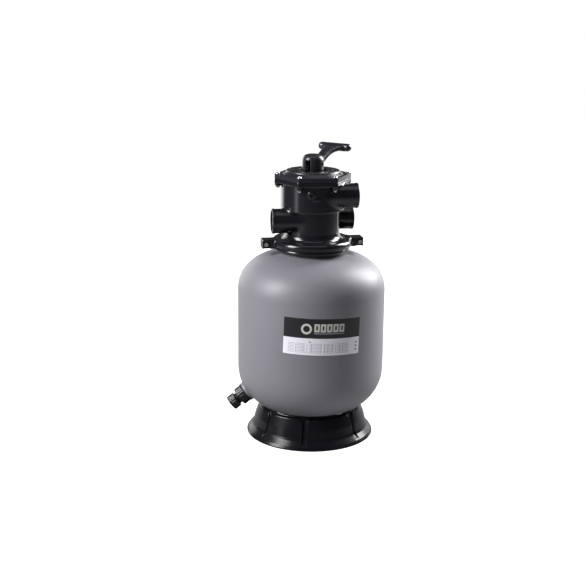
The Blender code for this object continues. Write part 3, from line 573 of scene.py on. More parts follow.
BLACK = moulded_black("moulded_black", (0.0048, 0.0043, 0.0074), 0.17)
SATIN_BLACK = moulded_black("satin_black", (0.0105, 0.0098, 0.0150), 0.26)
SKIRT_BLACK = moulded_black("skirt_black", (0.0046, 0.0043, 0.0066), 0.20, 0.06, gloss=0.22)
GREY = tank_grey("tank_grey")
RUBBER = rubber("rubber")
STEEL = stainless("stainless")
WHITE = plain_plastic("white_plastic", (0.78, 0.78, 0.75))
PIPE_GREY = plain_plastic("grey_plastic", (0.24, 0.24, 0.26))
INK_BLACK = printed("ink_black", (0.0075, 0.0070, 0.0100))
INK_PALE = printed("ink_pale", (0.58, 0.58, 0.53))
INK_GREY = printed("ink_grey", (0.30, 0.30, 0.33))
SILVER = printed("silver_film", (0.84, 0.83, 0.90), 0.28)

FINISHES = {
    "tank_grey": GREY,
    "black_plastic": BLACK,
    "base_plastic": SKIRT_BLACK,
    "label_film": SILVER,
    "dial_film": INK_BLACK,
    "rubber": RUBBER,
    "stainless": STEEL,
    "white_plastic": WHITE,
    "grey_plastic": PIPE_GREY,
}


def dress(obj, finish, body, slot, *nodes):
    """Give a finished piece its material and its body, and hide the CAD nodes it stands for; the slot is not
    used.
    """
    if finish:
        obj.data.materials.clear()
        obj.data.materials.append(finish)
    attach(obj, body)
    if nodes:
        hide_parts(*nodes)
    return obj


def on_axis(obj):
    """Move a piece built about x = 0 onto the tank's axis."""
    return place(obj, Matrix.Translation((AXIS_X, 0, 0)))


def on_drain(obj, shift):
    """Stand a piece built about Z on the drain's axis; shift is counted from the cap's middle."""
    return place(obj, along(DRAIN_AXIS, DRAIN_POINT + DRAIN_AXIS * shift))


# ---- tank and base


def superellipse(turn, radius, inner, start_z, end_z, power):
    """Point of a dome; turn 0 is the straight wall, 90 degrees its far end."""
    angle = math.radians(turn)
    r = inner + (radius - inner) * math.cos(angle) ** (2 / power)
    z = start_z + (end_z - start_z) * math.sin(angle) ** (2 / power)
    return r, z


def tank():
    """Shell with its domed ends, neck and flange, and the flat pad under the drain."""
    bottom_turns = [89.5, 88, 86, 84, *range(82, 0, -2), 1, 0]
    top_turns = [0, 1, *range(2, 76, 2)]
    bottom = [
        superellipse(t, TANK_RADIUS, 0, TANK_WALL_LOW_Z, TANK_LOW_Z, BOTTOM_POWER)
        for t in bottom_turns
    ]
    top = [
        superellipse(t, TANK_RADIUS, CROWN_RADIUS, TANK_WALL_HIGH_Z, TANK_CROWN_Z, TOP_POWER)
        for t in top_turns
    ]
    wall = [(TANK_RADIUS, z) for z in np.linspace(TANK_WALL_LOW_Z, TANK_WALL_HIGH_Z, 14)[1:-1]]
    neck = rounded(
        [top[-1], (0.0785, 0.4468), (0.074, 0.4505), (0.074, 0.4575), (0.084, 0.4575)]
        + [(0.084, TANK_TOP_Z), (0.066, TANK_TOP_Z), (0.066, 0.442)],
        (0.002, 0.002, 0.0008, 0.0006, 0.0006, 0.0006),
    )
    middle_z = (TANK_WALL_LOW_Z + TANK_WALL_HIGH_Z) / 2
    outside = [*bottom, *wall, *top]
    inside = [(r * 0.97, middle_z + (z - middle_z) * 0.97) for r, z in reversed(outside)]
    loop = [(0.0, TANK_LOW_Z), *outside, *neck[1:], *inside, (0.0, TANK_LOW_Z + 0.006)]
    shell = on_axis(revolve("tank", loop, TANK_SEGMENTS))
    pad_profile = solid_profile([(0.0250, -0.0460), (0.0243, -0.0382)], (0.001, 0.0020))
    pad = on_drain(revolve("pad", pad_profile, 96), 0.0)
    dress(join("tank", [shell, pad]), GREY, "filter", "tank_grey", "tank_shell")


def skirt_offset(angle, radius, z):
    """How far the skirt's wall steps back: nothing on a raised panel, a full recess beside it."""
    offsets = [angle - math.radians(web) for web in SKIRT_WEB_DEGREES]
    from_web = min(abs((offset + math.pi) % (2 * math.pi) - math.pi) for offset in offsets) * radius
    dx = max(SKIRT_WEB_HALF + SKIRT_CORNER - from_web, 0.0)
    dz = max(z - SKIRT_PANEL_HIGH_Z + SKIRT_CORNER, 0.0)
    outside = math.hypot(dx, dz) - SKIRT_CORNER
    t = min(max(outside / SKIRT_SIDE + 0.5, 0.0), 1.0)
    return SKIRT_RECESS * t * t * (3 - 2 * t)


def skirt():
    """Flared base with raised panels, a thin foot and an open underside."""
    foot = rounded(
        [(0.1330, 0.0), (SKIRT_RADIUS - 0.0005, 0.0), (SKIRT_RADIUS, 0.0028), (0.1495, 0.0085)]
        + [(0.1445, 0.0140), (0.1400, 0.0190), (0.1372, 0.0250)],
        (0.0006, 0.0012, 0.002, 0.003, 0.004),
    )
    panel_z = np.linspace(0.0250, 0.0700, 40)[1:]
    panel_r = np.interp(panel_z, (0.0250, 0.0430, 0.0700), (0.1372, 0.1330, 0.1232))
    wall = [(float(r), float(z)) for r, z in zip(panel_r, panel_z)]
    rim = rounded(
        [wall[-1], (0.1222, 0.0725), (0.1212, SKIRT_TOP_Z), (0.1180, 0.0737), (0.1120, 0.0700)]
        + [(0.1120, 0.0665), (0.1150, 0.0650), (0.1240, 0.0430), (0.1280, 0.0240), (0.1370, 0.0110)]
        + [(0.1330, 0.0060), (0.1330, 0.0)],
        (0.001, 0.0008, 0.002, 0.001, 0.001, 0.003, 0.004, 0.003, 0.002, 0.001),
        4,
    )
    outer = densified(foot, closed=False) + wall
    outer_points = {(round(r, 7), round(z, 7)) for r, z in outer}

    def shape(angle, r, z):
        outside = (round(r, 7), round(z, 7)) in outer_points and z > SKIRT_PANEL_LOW_Z
        fade = min(max((z - SKIRT_PANEL_LOW_Z) / 0.003, 0.0), 1.0)
        return r - skirt_offset(angle, r, z) * fade if outside else r

    obj = on_axis(revolve("skirt", outer + rim[1:-1], 720, shape))
    dress(obj, SKIRT_BLACK, "filter", "base_plastic", "base_skirt")


# ---- label


def label_ink(across, z, rows):
    """Which ink covers a point of the label: 0 silver, 1 black, 2 pale, 3 grey."""

    def within(area):
        return area[0] < across < area[1] and area[2] < z < area[3]

    if z > LABEL_SPLIT_Z:
        if within(LABEL_MARK):
            centre_u = (LABEL_MARK[0] + LABEL_MARK[1]) / 2
            centre_z = (LABEL_MARK[2] + LABEL_MARK[3]) / 2
            distance = math.hypot(across - centre_u, z - centre_z)
            return 2 if RING_INNER < distance < RING_OUTER else 1
        if within(LABEL_BLOCKS):
            start = (across - LABEL_BLOCKS[0]) % BLOCK_PITCH
            end = BLOCK_PITCH - BLOCK_SPACE - start
            edge = min(start, end, z - LABEL_BLOCKS[2], LABEL_BLOCKS[3] - z)
            return 2 if 0 < edge < BLOCK_STROKE else 1
        if within(LABEL_RULE):
            return 3
        return 1
    return 3 if any(within(line) for line in rows) else 0


def label_lines():
    """Rulings of the table in the label's lower half, and three plain icons at its end."""
    low, high = LABEL_BOTTOM_Z + 0.006, LABEL_SPLIT_Z - 0.013
    lines = []
    for u in LABEL_COLUMNS:
        lines.append((u, u + 0.0009, low, high))
    for i in range(7):
        z = low + (high - low) * i / 6
        for start, end in LABEL_ROW_SPANS:
            lines.append((start, end, z, z + 0.0008))
    for i in range(3):
        z = LABEL_SPLIT_Z - 0.012 - 0.0085 * i
        lines.append((0.0800, 0.0855, z - 0.0022, z + 0.0022))
    lines.append((-0.0315, -0.0275, LABEL_SPLIT_Z - 0.0100, LABEL_SPLIT_Z - 0.0070))
    return lines


def label():
    """Curved film with a dark band, a plain ring and bars, and a ruled silver field below."""
    radius = LABEL_RADIUS
    half_width = LABEL_HALF_ANGLE * radius
    lines = label_lines()
    marks = [LABEL_BLOCKS, LABEL_RULE, LABEL_MARK]
    us = {-half_width, half_width}
    zs = {LABEL_BOTTOM_Z, LABEL_TOP_Z, LABEL_SPLIT_Z}
    for area in lines + marks:
        us.update(area[:2])
        zs.update(area[2:])
    us.update(np.linspace(-half_width, half_width, 200))
    us.update(np.linspace(LABEL_MARK[0], LABEL_MARK[1], 56))
    zs.update(np.linspace(LABEL_MARK[2], LABEL_MARK[3], 56))
    for i in range(BLOCK_COUNT):
        start = LABEL_BLOCKS[0] + BLOCK_PITCH * i
        end = LABEL_BLOCKS[0] + BLOCK_PITCH * (i + 1) - BLOCK_SPACE
        us.update((start, start + BLOCK_STROKE, end - BLOCK_STROKE, end))
    zs.update((LABEL_BLOCKS[2] + BLOCK_STROKE, LABEL_BLOCKS[3] - BLOCK_STROKE))
    us, zs = sorted(us), sorted(zs)
    corner = 0.0015
    middle_z = (LABEL_BOTTOM_Z + LABEL_TOP_Z) / 2
    mesh = bmesh.new()

    def vertex(u, z, r):
        inset = max(0.0, abs(u) - (half_width - corner))
        drop = corner - math.sqrt(max(corner**2 - inset**2, 0.0))
        z = min(max(z, LABEL_BOTTOM_Z + drop), LABEL_TOP_Z - drop)
        angle = LABEL_CENTRE_ANGLE + (u + LABEL_SLANT * (z - middle_z)) / radius
        return mesh.verts.new((r * math.sin(angle), -r * math.cos(angle), z - LABEL_SLANT * u))

    front = [[vertex(u, z, radius) for z in zs] for u in us]
    back = [[vertex(u, z, radius - 0.0004) for z in (zs[0], zs[-1])] for u in us]
    for i in range(len(us) - 1):
        for j in range(len(zs) - 1):
            corners = (front[i][j], front[i + 1][j], front[i + 1][j + 1], front[i][j + 1])
            face = mesh.faces.new(corners)
            face.material_index = label_ink((us[i] + us[i + 1]) / 2, (zs[j] + zs[j + 1]) / 2, lines)
        for k, j in ((0, 0), (1, -1)):
            mesh.faces.new((back[i][k], back[i + 1][k], front[i + 1][j], front[i][j]))
        mesh.faces.new((back[i][0], back[i][1], back[i + 1][1], back[i + 1][0]))
    for i in (0, -1):
        mesh.faces.new([back[i][0], *front[i], back[i][1]])
    obj = on_axis(add_mesh("label", mesh))
    for ink in (SILVER, INK_BLACK, INK_PALE, INK_GREY):
        obj.data.materials.append(ink)
    dress(obj, None, "filter", "label_film", "rating_label")


# ---- valve


def port_field(x, y, z, mouth):
    """Outside of a port: a plain barrel with a slightly thicker rim at its mouth."""
    side = 1 if mouth[0] > 0 else -1
    distance = np.sqrt((y - mouth[1]) ** 2 + (z - mouth[2]) ** 2)
    reach = abs(mouth[0])
    barrel = puck_field(distance, x * side, PORT_RADIUS - 0.0007, 0.0, reach, 0.0012)
    rim = puck_field(distance, x * side, PORT_RADIUS, reach - 0.0060, reach, 0.0012)
    return blend_in(barrel, rim, 0.0010)


def socket_field(x, y, z, mouth):
    """Inside of a port: threaded entry, shoulder and bore."""
    side = 1 if mouth[0] > 0 else -1
    distance = np.sqrt((y - mouth[1]) ** 2 + (z - mouth[2]) ** 2)
    reach = abs(mouth[0])
    angle = np.arctan2(z - mouth[2], y - mouth[1])
    wave = THREAD_WAVE * np.cos(2 * math.pi * (x * side / THREAD_PITCH) - angle)
    along_x, past = x * side, reach + 0.01
    floor_x = reach - PORT_THREAD_DEPTH
    entry = puck_field(distance - wave, along_x, PORT_THREAD_RADIUS, floor_x, past, 0.0005)
    bore = puck_field(distance, along_x, PORT_BORE_RADIUS, reach - PORT_BORE_DEPTH, reach, 0.0005)
    lead = puck_field(distance, along_x, PORT_THREAD_RADIUS + 0.0008, reach - 0.0025, past, 0.0005)
    return np.minimum(np.minimum(entry, bore), lead)


def valve_field(x, y, z):
    """The valve's body as one moulding, about the tank's axis."""
    around = np.sqrt(x**2 + y**2)
    top = VALVE_HIGH.z
    body = puck_field(around, z, BODY_RADIUS, LEDGE_Z - 0.0005, top, 0.0018)
    neck = puck_field(around, z, NECK_RADIUS, VALVE_LOW.z + 0.004, LEDGE_Z + 0.02, 0.001)
    shape = blend_in(body, neck, 0.0030)
    flange = puck_field(around, z, 0.0840, VALVE_LOW.z, FLANGE_TOP_Z, 0.0010)
    shape = blend_in(shape, flange, 0.0185)
    plate = hexagon_field(x, y, z, HEX_CORNER_RADIUS, HEX_ROUNDING, HEX_LOW_Z, top, 0.0010)
    shape = blend_in(shape, plate, 0.0022)
    for corner_x, corner_y in HEX_CORNERS:
        from_boss = np.sqrt((x - corner_x) ** 2 + (y - corner_y) ** 2)
        boss = puck_field(from_boss, z, HEX_ROUNDING - 0.0004, BOSS_LOW_Z, HEX_LOW_Z + 0.004, 0.0016)
        shape = blend_in(shape, boss, 0.0025)
    for mouth in (PUMP_PORT, RETURN_PORT, WASTE_PORT):
        shape = blend_in(shape, port_field(x, y, z, mouth), 0.0060)
    gauge = from_axis("gauge_port_plug")
    turn = math.atan2(gauge.y, gauge.x)
    out = x * math.cos(turn) + y * math.sin(turn)
    side = -x * math.sin(turn) + y * math.cos(turn)
    from_gauge = np.sqrt(side**2 + (z - gauge.z) ** 2)
    eye = puck_field(from_gauge, out, 0.0088, 0.05, BODY_RADIUS + 0.0018, 0.0007)
    shape = blend_in(shape, eye, 0.0020)
    rib_half = (0.008, 0.002, 0.0013)
    rib = box_field(side - 0.012, out - BODY_RADIUS + 0.0015, z - gauge.z + 0.0125, rib_half, 0.001)
    shape = blend_in(shape, rib, 0.0020)
    for mouth in (PUMP_PORT, RETURN_PORT, WASTE_PORT):
        shape = blend_cut(shape, socket_field(x, y, z, mouth), 0.0008)
    chamber = puck_field(around, z, CHAMBER_RADIUS, CHAMBER_LOW_Z, top + 0.01, 0.0005)
    return blend_cut(shape, chamber, 0.0006)


def valve():
    low = (VALVE_LOW.x - AXIS_X, VALVE_LOW.y, VALVE_LOW.z)
    high = (VALVE_HIGH.x - AXIS_X, VALVE_HIGH.y, VALVE_HIGH.z)
    obj = on_axis(surface_of("valve", valve_field, low, high, 0.00135))
    dress(obj, BLACK, "filter", "black_plastic", "valve_body")


def lid_outline():
    """Rounded hexagon of the lid's edge."""
    points = []
    for i, centre in enumerate(HEX_CORNERS):
        points += arc(HEX_ROUNDING, 60 * i - 30, 60 * i + 30, 10, centre)
    return points


def lid():
    """Hexagonal plate, sloping shoulder, raised disc with the dial's seat, and a recess."""
    plate_top = LID_SEAT_Z + 0.0099
    plate = prism("plate", lid_outline(), LID_SEAT_Z, plate_top, 0.0011)
    disc_z = DIAL_HIGH.z - 0.0002
    dial_outer = (DIAL_HIGH.x - DIAL_LOW.x) / 2
    chain = rounded(
        [(0.010, plate_top - 0.001), (0.0712, plate_top - 0.0005), (0.0700, plate_top + 0.0006)]
        + [(0.0632, disc_z - 0.0028), (0.0618, disc_z), (dial_outer + 0.0004, disc_z)]
        + [(dial_outer + 0.0003, disc_z - 0.0009), (0.0362, disc_z - 0.0009), (0.0362, disc_z)]
        + [(0.0352, disc_z), (0.0350, 0.6340), (0.0066, 0.6340), (0.0063, 0.600)]
        + [(0.0105, 0.600), (0.010, plate_top - 0.001)],
        (0.0, 0.0015, 0.0020, 0.0009, 0.0003, 0.0, 0.0, 0.0003, 0.0006, 0.0012, 0.0006, 0.0003, 0.0008),
    )
    disc = revolve("disc", chain[:-1], 192)
    pads = []
    pad_points = [(0.0068, plate_top - 0.002), (0.0066, plate_top + 0.00015)]
    for centre in HEX_CORNERS:
        profile = solid_profile(pad_points, (0.0, 0.0001), 2)
        pads.append(place(revolve("pad", profile, 32), Matrix.Translation((*centre, 0))))
    obj = on_axis(join("lid", [plate, disc, *pads]))
    dress(obj, SATIN_BLACK, "filter", "black_plastic", "lid")


def dial():
    """Ring plate with six numbered positions and tick marks between them."""
    inner, outer = 0.0366, (DIAL_HIGH.x - DIAL_LOW.x) / 2 - 0.0002
    top = DIAL_HIGH.z - 0.00005
    loop = rounded(
        [(inner, DIAL_LOW.z), (outer, DIAL_LOW.z), (outer, top), (inner, top), (inner, DIAL_LOW.z)],
        (0.0, 0.0002, 0.0002),
        3,
    )
    plate = on_axis(revolve("dial", loop[:-1], 144))
    dress(plate, INK_BLACK, "filter", "dial_film", "position_dial")
    mesh = bmesh.new()
    for i in range(36):
        angle = 2 * math.pi * i / 36
        long_mark = i % 6 == 0
        reach = 0.0035 if long_mark else 0.0018
        half = 0.0005 if long_mark else 0.0003
        far = outer - 0.0012
        corners = ((far - reach, -half), (far, -half), (far, half), (far - reach, half))
        turn = Matrix.Rotation(angle, 4, "Z")
        mesh.faces.new([mesh.verts.new(turn @ Vector((r, s, top + 0.00002))) for r, s in corners])
    ticks = add_mesh("dial_ticks", mesh)
    numbers = [dial_number(i, top) for i in range(6)]
    marks = on_axis(join("dial_marks", [ticks, *numbers]))
    dress(marks, INK_PALE, "filter", "dial_film")


def dial_number(i, top):
    """One flat digit, standing with its foot towards the stem."""
    curve = bpy.data.curves.new(f"digit_{i}", "FONT")
    curve.body = str(i + 1)
    curve.size = 0.0105
    curve.align_x = "CENTER"
    curve.align_y = "CENTER"
    text = new_object(f"digit_{i}", curve)
    graph = bpy.context.evaluated_depsgraph_get()
    data = bpy.data.meshes.new_from_object(text.evaluated_get(graph))
    bpy.data.objects.remove(text)
    obj = new_object(f"digit_{i}", data)
    angle = math.pi / 3 * i + ARM_ANGLE
    where = Matrix.Translation((0.0455 * math.cos(angle), 0.0455 * math.sin(angle), top + 0.00002))
    return place(obj, where @ Matrix.Rotation(angle - math.pi / 2, 4, "Z"))


def screws():
    """Domed screws with a hexagon socket in the lid's corners, and their nuts below."""
    for i in range(1, 7):
        low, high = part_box(f"lid_screw_{i}")
        centre = middle(f"lid_screw_{i}")
        head_low = high.z - 0.0033
        profile = rounded(
            [(0.0, low.z), (0.0024, low.z), (0.0025, low.z + 0.0004), (0.0025, head_low), (0.0051, head_low)]
            + [(0.0050, head_low + 0.0012), (0.0036, high.z), (0.0020, high.z), (0.0018, high.z - 0.0018)]
            + [(0.0, high.z - 0.0018)],
            (0.0, 0.0, 0.0, 0.0004, 0.0010, 0.0012, 0.0003, 0.0002),
            5,
        )
        screw = place(revolve("screw", profile, 48), Matrix.Translation((centre.x, centre.y, 0)))
        screw.name = f"screw_{i}"
        dress(screw, STEEL, "filter", "stainless", f"lid_screw_{i}")
        nut_low, nut_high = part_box(f"lid_nut_{i}")
        half = (nut_high.y - nut_low.y) / math.sqrt(3)
        nut = prism(f"nut_{i}", hexagon(half), nut_low.z, nut_high.z, 0.0004)
        place(nut, Matrix.Translation((centre.x, centre.y, 0)))
        dress(nut, STEEL, "filter", "stainless", f"lid_nut_{i}")


def gauge_plug():
    """Small screwed plug in the gauge tapping, with a hexagon key recess and a knurled rim."""
    centre = from_axis("gauge_port_plug")
    outward = Vector((centre.x, centre.y, 0)).normalized()
    face = BODY_RADIUS + 0.0018
    profile = rounded(
        [(0.0, face - 0.008), (0.0048, face - 0.008), (0.0048, face + 0.0016), (0.0069, face + 0.0016)]
        + [(0.0069, face + 0.0034), (0.0060, face + 0.0043), (0.0033, face + 0.0043), (0.0030, face + 0.0018)]
        + [(0.0, face + 0.0018)],
        (0.0003, 0.0002, 0.0002, 0.0005, 0.0005, 0.0002, 0.0003),
        4,
    )

    def knurl(angle, r, z):
        return r - 0.0002 * (1 + math.cos(24 * angle)) if r > 0.0064 else r

    plug = place(revolve("gauge_plug", profile, 96, knurl), along(outward, (AXIS_X, 0, centre.z)))
    dress(plug, BLACK, "filter", "black_plastic", "gauge_port_plug")


# ---- clamp


def clamp_field(side):
    """Distance field of one clamp half; side -1 is the front."""
    low, high = CLAMP_LOW.z, CLAMP_HIGH.z
    bolt = from_axis("clamp_bolt_right")
    bolt_x, bolt_z = math.hypot(bolt.x, bolt.y), bolt.z
    ear_z, ear_half_z = (EAR_LOW_Z + EAR_HIGH_Z) / 2, (EAR_HIGH_Z - EAR_LOW_Z) / 2

    def field(x, y, z):
        around = np.sqrt(x**2 + y**2)
        band = puck_field(around, z, 0.0858, low, FLANGE_TOP_Z + 0.0022, 0.0012)
        for bead_z, bead_r, thick in CLAMP_BEADS:
            bead = np.sqrt((around - bead_r) ** 2 + (z - bead_z) ** 2) - thick
            band = blend_in(band, bead, 0.0016)
        for end in (-1, 1):
            ear = box_field(x - end * 0.1035, y, z - ear_z, (EAR_END_X - 0.1035, 0.0165, ear_half_z), 0.0016)
            band = blend_in(band, ear, 0.0045)
            pocket_z = z - (EAR_HIGH_Z - 0.0035 - 0.0200)
            pocket_half = (0.0082, 0.0130, 0.0200)
            pocket = box_field(x - end * 0.1108, y - side * 0.0220, pocket_z, pocket_half, 0.0012)
            band = blend_cut(band, pocket, 0.0008)
            hole = np.sqrt((x - end * bolt_x) ** 2 + (z - bolt_z) ** 2) - BOLT_HOLE_RADIUS
            band = np.maximum(band, -hole)
        bore = puck_field(around, z, 0.0785, low - 0.01, high + 0.01, 0.0)
        groove = puck_field(around, z, 0.0845, 0.4572, FLANGE_TOP_Z + 0.0003, 0.0004)
        band = np.maximum(band, -np.minimum(bore, groove))
        return blend_cut(band, side * y - 0.0006, 0.0006)

    return field


def clamp():
    """Two half rings with bolted ears, turned a little about the tank's axis."""
    turned = Matrix.Rotation(CLAMP_TURN, 4, "Z")
    across = turned.to_3x3() @ Vector((0, 1, 0))
    for name, side in (("clamp_front", -1), ("clamp_back", 1)):
        low_y, high_y = sorted((side * 0.1, 0.0))
        corner_low, corner_high = (-EAR_END_X, low_y, CLAMP_LOW.z), (EAR_END_X, high_y, CLAMP_HIGH.z)
        half_ring = surface_of(f"{name}_moulding", clamp_field(side), corner_low, corner_high, 0.0009)
        dress(on_axis(place(half_ring, turned)), BLACK, "filter", "black_plastic", name)
    for name in ("left", "right"):
        centre = middle(f"clamp_bolt_{name}")
        length, head = 0.0313, 0.0060
        profile = rounded(
            [(0.0, 0.0), (0.0028, 0.0), (0.0030, 0.0004), (0.0030, length - head), (0.0051, length - head)]
            + [(0.0051, length - 0.0008), (0.0045, length), (0.0030, length), (0.0028, length - 0.003)]
            + [(0.0, length - 0.003)],
            (0.0, 0.0, 0.0, 0.0003, 0.0008, 0.0006, 0.0003, 0.0002),
            5,
        )
        bolt = place(revolve(f"bolt_{name}", profile, 64), along(-across, centre + across * length / 2))
        dress(bolt, STEEL, "filter", "stainless", f"clamp_bolt_{name}")
        nut = prism(f"clamp_nut_{name}_piece", hexagon(0.0056), -0.0025, 0.0025, 0.0004)
        place(nut, along(across, middle(f"clamp_nut_{name}")))
        dress(nut, STEEL, "filter", "stainless", f"clamp_nut_{name}")


# ---- handle


def eased(u, knots, values):
    """Smooth curve through the stations of the arm."""
    slopes = np.gradient(values, knots)
    i = np.clip(np.searchsorted(knots, u) - 1, 0, len(knots) - 2)
    knots, values = np.asarray(knots), np.asarray(values)
    width = knots[i + 1] - knots[i]
    t = np.clip((u - knots[i]) / width, 0, 1)
    start = (1 + 2 * t) * (1 - t) ** 2 * values[i] + t * (1 - t) ** 2 * width * slopes[i]
    return start + t**2 * (3 - 2 * t) * values[i + 1] + t**2 * (t - 1) * width * slopes[i + 1]


def heel(u):
    """Height of the cam's underside at u, so that each degree pressed lifts by the same amount."""
    rate = PRESS_LIFT / PRESS_ANGLE
    turns = np.linspace(0, PRESS_ANGLE, 24)
    reach = PIN.z - HANDLE_LOW_Z + rate * turns
    curve_u = reach * np.sin(turns) + rate * np.cos(turns)
    curve_z = -reach * np.cos(turns) + rate * np.sin(turns)
    toe = curve_z[-1] + (u - curve_u[-1]) * math.tan(PRESS_ANGLE)
    return np.where(u > curve_u[-1], toe, np.interp(u, curve_u, curve_z))


def handle_field(u, v, z):
    """Lever in its own frame: u along the arm, v across it, z up from the pin."""
    top = 0.0225
    around = np.sqrt(u**2 + v**2)
    hub = blend_cut(around - HUB_RADIUS, top - z, 0.0170)
    arm_z, half_width = eased(u, ARM_U, ARM_Z), eased(u, ARM_U, ARM_HALF_WIDTH)
    half_height = eased(u, ARM_U, ARM_HALF_HEIGHT)
    slope = np.interp(u, ARM_U, np.gradient(ARM_Z, ARM_U))
    across = (z - arm_z) / np.sqrt(1 + slope**2)
    past_end = u - np.clip(u, ARM_U[0], ARM_U[-1])
    arm = box_field(past_end, v, across, (0.0045, half_width, half_height), 0.0045)
    channel_half = (0.0300, half_width - 0.0070, 0.0010)
    channel = box_field(u - 0.058, v, across - half_height, channel_half, 0.0009)
    arm = blend_cut(arm, channel, 0.0016)
    chamfer = (across - half_height + np.abs(v) - half_width + ARM_CHAMFER) / math.sqrt(2)
    arm = -blend_in(-arm, -chamfer, 0.0016)
    shape = blend_in(hub, arm, 0.0070)
    grip = box_field(u - 0.103, v, z - 0.0284, (0.0094, 0.0430, 0.0088), 0.0078)
    shape = blend_in(shape, grip, 0.0060)
    slot = box_field(u + 0.0114, v, z + 0.0150, (0.0286, 0.0065, 0.0250), 0.0004)
    shape = blend_cut(shape, slot, 0.0010)
    shape = blend_cut(shape, z - heel(u), 0.0008)
    hole = np.sqrt(u**2 + z**2) - 0.0032
    return np.maximum(shape, -hole)


def handle():
    low, high = (-0.0260, -0.0435, -0.0190), (0.1130, 0.0435, 0.0360)
    lever = surface_of("lever", handle_field, low, high, 0.0007)
    place(lever, Matrix.Translation(PIN) @ Matrix.Rotation(ARM_ANGLE, 4, "Z"))
    dress(lever, SATIN_BLACK, "handle", "black_plastic", "handle")
    half = 0.0225
    profile = rounded(
        [(0.0, -half), (0.0030, -half), (0.0030, half), (0.0, half)], (0.0006, 0.0006), 4
    )
    pin = place(revolve("pin", profile, 48), along(PIN_AXIS, PIN))
    dress(pin, STEEL, "rotor", "stainless", "handle_pin")


# ---- spring


def spring():
    """Coil spring above the rotor, wound from round wire."""
    low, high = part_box("spring")
    wire, turns, around = 0.0013, 5, 12
    radius = (high.x - low.x) / 2 - wire
    steps = 48 * turns
    mesh = bmesh.new()
    rings = []
    for i in range(steps + 1):
        angle = 2 * math.pi * turns * i / steps
        out = Vector((math.cos(angle), math.sin(angle), 0))
        share = min(max((i / steps - 0.08) / 0.84, 0.0), 1.0)
        centre = out * radius + Vector((0, 0, low.z + wire + (high.z - low.z - 2 * wire) * share))
        ring = []
        for k in range(around):
            turn = 2 * math.pi * k / around
            spoke = out * math.cos(turn) + Vector((0, 0, math.sin(turn)))
            ring.append(mesh.verts.new(centre + wire * spoke))
        rings.append(ring)
    add_rings(mesh, rings, False)
    mesh.faces.new(rings[0])
    mesh.faces.new(rings[-1])
    coil = on_axis(add_mesh("spring_coil", mesh))
    dress(coil, STEEL, "selector", "stainless", "spring")
    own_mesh(coil)


# ---- drain


def ribs(depth, low, high, inner):
    """Radius rule for finger ribs round a cap or nut."""

    def shape(angle, r, z):
        if r < inner or not low <= z <= high:
            return r
        fade = min((z - low) / 0.0012, (high - z) / 0.0012, 1.0)
        groove = (0.5 - 0.5 * math.cos(angle * DRAIN_RIB_COUNT)) ** 2
        return r - depth * groove * fade

    return shape


def thread(radius, low, high, pitch, depth, name, inner, segments=72):
    """Sleeve with a screw thread outside and a plain bore inside."""
    rows = int((high - low) / pitch * 8)

    def shape(angle, r, z):
        if r <= inner + 0.0001 or z < low + 0.001 or z > high - 0.001:
            return r
        return r - depth * (0.5 + 0.5 * math.cos(2 * math.pi * z / pitch - angle))

    wall = [(radius, low + (high - low) * i / rows) for i in range(rows + 1)]
    return revolve(name, [(inner, low), *wall, (inner, high)], segments, shape, 60)


def drain():
    """Threaded spigot, ribbed lock nut, cap and a gasket."""
    spigot = thread(0.0142, -0.0100, 0.0460, 0.0030, 0.0009, "drain_thread", 0.0105)
    flange_loop = [(0.0105, -0.0125), (0.0213, -0.0125), (0.0213, -0.0102), (0.0105, -0.0102)]
    flange = revolve("flange", flange_loop, 72)
    spigot = on_drain(join("drain_spigot_piece", [spigot, flange]), -DRAIN_CAP_MIDDLE)
    dress(spigot, BLACK, "filter", "black_plastic", "drain_spigot")
    washer = rounded(
        [(0.0148, 0.0048), (0.0239, 0.0048), (0.0239, 0.0073), (0.0148, 0.0073), (0.0148, 0.0048)],
        (0.0006, 0.0006, 0.0),
        4,
    )
    washer = on_drain(revolve("drain_washer_outer", washer[:-1], 96), -DRAIN_CAP_MIDDLE)
    dress(washer, RUBBER, "filter", "rubber", "drain_gasket")
    nut_loop = rounded(
        [(0.0146, 0.0076), (0.0224, 0.0076), (0.0224, 0.0245), (0.0196, 0.0245), (0.0190, 0.0235)]
        + [(0.0150, 0.0235), (0.0146, 0.0245), (0.0146, 0.0076)],
        (0.0006, 0.0022, 0.0004, 0.0004, 0.0, 0.0),
        6,
    )
    nut_loop = densified(nut_loop[:-1])
    nut_ribs = ribs(0.0009, 0.0076, 0.0245, 0.0199)
    nut = revolve("drain_nut", nut_loop, DRAIN_SEGMENTS, nut_ribs)
    dress(on_drain(nut, -DRAIN_CAP_MIDDLE), BLACK, "filter", "black_plastic", "drain_lock_nut")
    roof = 0.0487
    cap_loop = rounded(
        [(0.0, roof), (0.0146, roof), (0.0146, 0.0330), (0.0184, 0.0330), (0.0184, 0.0512)]
        + [(0.0120, 0.0512), (0.0112, 0.0504), (0.0, 0.0504)],
        (0.0004, 0.0004, 0.0008, 0.0050, 0.0004, 0.0004),
        8,
    )
    cap_ribs = ribs(0.0008, 0.0330, 0.0490, 0.0165)
    cap = revolve("drain_cap_piece", densified(cap_loop), DRAIN_SEGMENTS, cap_ribs)
    dress(on_drain(cap, -DRAIN_CAP_MIDDLE), BLACK, "drain_cap", "black_plastic", "drain_cap")


def densified(loop, longest=0.0014, closed=True):
    """The same points with the long straight runs between them cut into short ones."""
    points = []
    following = loop[1:] + loop[:1] if closed else loop[1:]
    for (r0, z0), (r1, z1) in zip(loop, following):
        parts = max(1, math.ceil(abs(z1 - z0) / longest))
        if r0 == 0.0 or r1 == 0.0:
            parts = 1
        for i in range(parts):
            points.append((r0 + (r1 - r0) * i / parts, z0 + (z1 - z0) * i / parts))
    return points if closed else [*points, loop[-1]]


# ---- CAD nodes that are shown as they are


